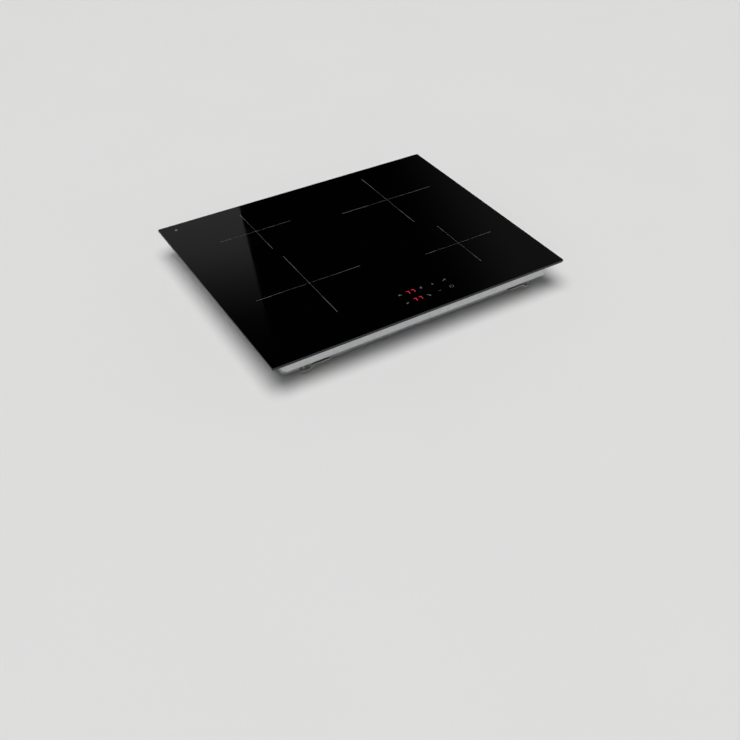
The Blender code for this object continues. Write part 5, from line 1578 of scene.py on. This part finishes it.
def resistor_body():
    """A dumb-bell profile turned about its own length, which lies along X."""
    profile = np.concatenate([RESISTOR_END * (1.0, -1.0), RESISTOR_END[::-1]])
    return copies(capped(revolve(profile, RESISTOR_SIDES)), [(FACING_RIGHT, (0.0, 0.0, RESISTOR_LIFT))])


def resistor_legs():
    """A round wire from each end that bends down to the board along a quarter circle."""
    bend = arc(LEG_BEND, 90, 0, LEG_BEND_STEPS, (LEG_END - LEG_BEND, RESISTOR_LIFT - LEG_BEND))
    bend = np.concatenate([[(LEG_START, RESISTOR_LIFT)], bend, [(LEG_END, 0.0)]])
    path = np.column_stack([bend[:, 0], np.zeros(len(bend)), bend[:, 1]])
    leg = tube(path, np.broadcast_to((0.0, 1.0, 0.0), path.shape), LEG_RADIUS, THIN_WIRE_SIDES)
    return copies(leg, [(turn, np.zeros(3)) for turn in (FACING_UP, HALF_TURN)])


class HOB_OT_board_parts(bpy.types.Operator):
    """Sets the small parts on the power boards"""

    bl_idname = "hob.board_parts"
    bl_label = "Board parts"

    def execute(self, context):
        finishes = context.scene.hob_finish
        packages = ((block(*RELAY), RELAYS), (switch(), SWITCHES), (chip(), CHIPS))
        black = moulded_plastic("moulding_compound", finishes.packages, roughness=0.45)
        make_piece("board_packages", gather([on_boards(*package) for package in packages]), [black])
        names = ["capacitor_" + end + "_" + side for side, _ in SIDES for end in reversed(ENDS)]
        blue = moulded_plastic("capacitor_case", finishes.capacitors, roughness=0.35)
        cases = gather([block_for(name, CAPACITOR_EDGE) for name in names])
        make_piece("capacitor_cases", cases, [blue], names)
        socket = gather([block(*SOCKET_BASE), block(*SOCKET_PINS)])
        white = moulded_plastic("socket_plastic", finishes.sockets, roughness=0.5, spread=0.03)
        make_piece("board_sockets", on_boards(socket, SOCKETS), [white])
        metal = brushed_metal("can_metal", finishes.cans, roughness=0.35, along=(1.0, 1.0, 0.1))
        make_piece("board_cans", on_boards(can(), CANS), [metal])
        lacquer = moulded_plastic("resistor_lacquer", finishes.resistors, roughness=0.35, spread=0.1)
        make_piece("board_resistors", on_boards(resistor_body(), RESISTORS), [lacquer])
        leads = on_boards(resistor_legs(), RESISTORS)
        make_piece("board_leads", leads, [screw_steel(finishes)])
        return {"FINISHED"}


# Solids that stay as they are

class HOB_OT_finishes(bpy.types.Operator):
    """Gives the solids that stay as they are their finishes"""

    bl_idname = "hob.finishes"
    bl_label = "Finishes"

    def execute(self, context):
        finishes = context.scene.hob_finish
        sides = [side for side, _ in SIDES]

        def each(stem, ends=sides):
            return [stem + end for end in ends]

        dress(zinc_steel(context.scene.hob_tray.steel), *each("glass_rail_", [*sides, *ENDS]))
        aluminium = brushed_metal("aluminium", finishes.aluminium, roughness=0.38, along=(0.05, 1.0, 1.0))
        dress(aluminium, "coil_plate", *each("heatsink_"))
        grey = moulded_plastic("grey_plastic", finishes.grey_plastic, roughness=0.55)
        dress(grey, *each("coil_carrier_", ZONES), *each("fan_motor_"))
        black = moulded_plastic("black_plastic", finishes.black_plastic, roughness=0.5)
        dress(black, "touch_carrier", *each("fan_housing_"))
        dress(moulded_plastic("rotor_plastic", finishes.rotors, roughness=0.4), *each("fan_rotor_"))
        white = moulded_plastic("white_plastic", finishes.white_plastic, roughness=0.5, spread=0.03)
        dress(white, "terminal_box", "terminal_block", "terminal_cover", *each("board_carrier_"))
        dress(circuit_board(finishes.boards), *each("power_board_"))
        return {"FINISHED"}


# Stage

EYE = (-0.7441, -1.3905, 1.0328)
EYE_BACK = (-0.4165, -0.6523, 0.6333)
SENSOR_WIDTH = 36.0
FLOOR_REACH = 14.0
FLOOR_SPREAD = 0.012
LAMP_AIM = (0.10, 0.06, -1.0)
# Height, from 0 at the horizon to 1 overhead, and brightness there
SKY = ((0.0, 0.72), (0.2, 0.58), (0.36, 0.36), (0.5, 0.224), (0.52, 0.205), (0.531, 0.166), (0.555, 0.076),
       (0.581, 0.018), (0.61, 0.002))
SKY_BLUE = 1.005
FLAG_Y = 2.5
FLAG_LOW, FLAG_HIGH = 0.8, 3.4
FLAG_RIGHT = 3.8
FLAG_EDGE_X, FLAG_EDGE_Z = 0.715, 1.40
FLAG_LEAN = 0.10
FLAG_FADE = (0.85, 1.30)
FLAG_SLOPE = (1.0, 0.0, -0.44)
FLAG_SHADE = (0.878, 1.538)
FLAG_PALE = 0.064
FLAG_COLUMNS = 12


def stage_mesh(name, part, material):
    """A piece of the stage from (vertices, faces), which isn't part of the object."""
    points, faces = part
    mesh = bpy.data.meshes.new(name)
    mesh.from_pydata(points.tolist(), [], faces)
    mesh.materials.append(material)
    obj = bpy.data.objects.new(name, mesh)
    bpy.context.scene.collection.objects.link(obj)
    return obj


def make_floor(settings):
    """A level grid, far wider than the object, at the height of the feet."""
    line = np.linspace(-FLOOR_REACH, FLOOR_REACH, settings.floor_squares + 1)
    x, y = np.meshgrid(line, line)
    made = Finish("pale_floor", roughness=0.7)
    made.colour(made.shades(made.noise(scale=3.0), settings.floor, FLOOR_SPREAD))
    stage_mesh("floor", surface(np.stack([x, y, np.zeros_like(x)], axis=-1)), made.material)


def make_world():
    """Soft light from all round that is pale at the horizon and fades to dark overhead."""
    world = bpy.data.worlds.new("studio")
    bpy.context.scene.world = world
    world.use_nodes = True
    tree = world.node_tree
    place = tree.nodes.new("ShaderNodeTexCoord")
    height = tree.nodes.new("ShaderNodeSeparateXYZ")
    ramp = tree.nodes.new("ShaderNodeValToRGB")
    tree.links.new(place.outputs["Generated"], height.inputs["Vector"])
    tree.links.new(height.outputs["Z"], ramp.inputs["Fac"])
    tree.links.new(ramp.outputs["Color"], tree.nodes["Background"].inputs["Color"])
    stops = ramp.color_ramp.elements
    stops.remove(stops[1])
    for index, (where, bright) in enumerate(SKY):
        stop = stops.new(where) if index else stops[0]
        stop.position = where
        stop.color = (bright, bright, bright * SKY_BLUE, 1.0)


def make_lamp(settings):
    """Even light from overhead, from a wide part of the sky, that no glossy surface mirrors."""
    lamp = bpy.data.lights.new("overhead", "SUN")
    lamp.energy = settings.lamp_strength
    lamp.angle = settings.lamp_spread
    holder = bpy.data.objects.new("overhead", lamp)
    holder.rotation_mode = "QUATERNION"
    holder.rotation_quaternion = Vector(LAMP_AIM).to_track_quat("-Z", "Y")
    holder.visible_glossy = False
    bpy.context.scene.collection.objects.link(holder)


def make_flag():
    """A dark card that only gloss mirrors: upright, with one clean edge that leans.

    It gets paler to the right along a slope, and fades out below.
    """
    z = np.array([[FLAG_LOW], [FLAG_HIGH]])
    start = FLAG_EDGE_X + FLAG_LEAN * (z - FLAG_EDGE_Z)
    x = start + np.linspace(0.0, 1.0, FLAG_COLUMNS) * (FLAG_RIGHT - start)
    card = surface(np.stack([x, np.full_like(x, FLAG_Y), np.broadcast_to(z, x.shape)], axis=-1))
    made = Finish("dark_flag", roughness=1.0)
    across = made.node("ShaderNodeVectorMath", operation="DOT_PRODUCT", Vector=made.place)
    across.inputs[1].default_value = FLAG_SLOPE
    pale = made.span(across.outputs["Value"], 0.0, FLAG_PALE, *FLAG_SHADE, "SMOOTHSTEP")
    height = made.node("ShaderNodeSeparateXYZ", Vector=made.place).outputs["Z"]
    made.colour((0.0, 0.0, 0.0, 1.0))
    made.give(made.shader, "Emission Color", pale)
    made.give(made.shader, "Emission Strength", 1.0)
    made.give(made.shader, "Specular IOR Level", 0.0)
    made.give(made.shader, "Alpha", made.span(height, 0.0, 1.0, *FLAG_FADE, "SMOOTHSTEP"))
    flag = stage_mesh("dark_flag", card, made.material)
    flag.visible_camera = flag.visible_diffuse = flag.visible_shadow = flag.visible_transmission = False


def make_camera(settings):
    """A camera at the eye, which looks against the direction that leads back from it."""
    camera = bpy.data.cameras.new("camera")
    camera.sensor_width = SENSOR_WIDTH
    camera.lens = settings.lens
    camera.shift_x = settings.sideways
    holder = bpy.data.objects.new("camera", camera)
    holder.location = EYE
    holder.rotation_mode = "QUATERNION"
    holder.rotation_quaternion = (-Vector(EYE_BACK)).to_track_quat("-Z", "Y")
    bpy.context.scene.collection.objects.link(holder)
    bpy.context.scene.camera = holder


class HOB_OT_stage(bpy.types.Operator):
    """Sets the floor, the light and the camera"""

    bl_idname = "hob.stage"
    bl_label = "Stage"

    def execute(self, context):
        settings = context.scene.hob_stage
        context.scene.view_settings.view_transform = "Standard"
        make_floor(settings)
        make_world()
        make_lamp(settings)
        make_flag()
        make_camera(settings)
        return {"FINISHED"}


# Add-on

STEPS = (HOB_OT_glass, HOB_OT_zone_marks, HOB_OT_controls, HOB_OT_sealing_tape, HOB_OT_tray,
         HOB_OT_tray_screws, HOB_OT_clamps, HOB_OT_terminals, HOB_OT_windings, HOB_OT_mats,
         HOB_OT_ribbon_cable, HOB_OT_chokes, HOB_OT_key_board, HOB_OT_board_parts, HOB_OT_finishes,
         HOB_OT_stage)
SETTINGS = (("hob_glass", HobGlassSettings), ("hob_tray", HobTraySettings),
            ("hob_finish", HobFinishSettings), ("hob_stage", HobStageSettings))


class HOB_PT_panel(bpy.types.Panel):
    """Lists the steps that dress the hob"""

    bl_idname = "HOB_PT_panel"
    bl_label = "Induction hob"
    bl_space_type = "VIEW_3D"
    bl_region_type = "UI"
    bl_category = "Hob"

    def draw(self, context):
        for operator in STEPS:
            self.layout.operator(operator.bl_idname)


def register():
    for name, group in SETTINGS:
        bpy.utils.register_class(group)
        setattr(bpy.types.Scene, name, PointerProperty(type=group))
    for cls in (*STEPS, HOB_PT_panel):
        bpy.utils.register_class(cls)


def unregister():
    for cls in (HOB_PT_panel, *reversed(STEPS)):
        bpy.utils.unregister_class(cls)
    for name, group in reversed(SETTINGS):
        delattr(bpy.types.Scene, name)
        bpy.utils.unregister_class(group)


def main():
    """Dresses the hob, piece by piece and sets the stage."""
    register()
    bpy.ops.hob.glass()
    bpy.ops.hob.zone_marks()
    bpy.ops.hob.controls()
    bpy.ops.hob.sealing_tape()
    bpy.ops.hob.tray()
    bpy.ops.hob.tray_screws()
    bpy.ops.hob.clamps()
    bpy.ops.hob.terminals()
    bpy.ops.hob.windings()
    bpy.ops.hob.mats()
    bpy.ops.hob.ribbon_cable()
    bpy.ops.hob.chokes()
    bpy.ops.hob.key_board()
    bpy.ops.hob.board_parts()
    bpy.ops.hob.finishes()
    bpy.ops.hob.stage()


if __name__ == "__main__":
    main()
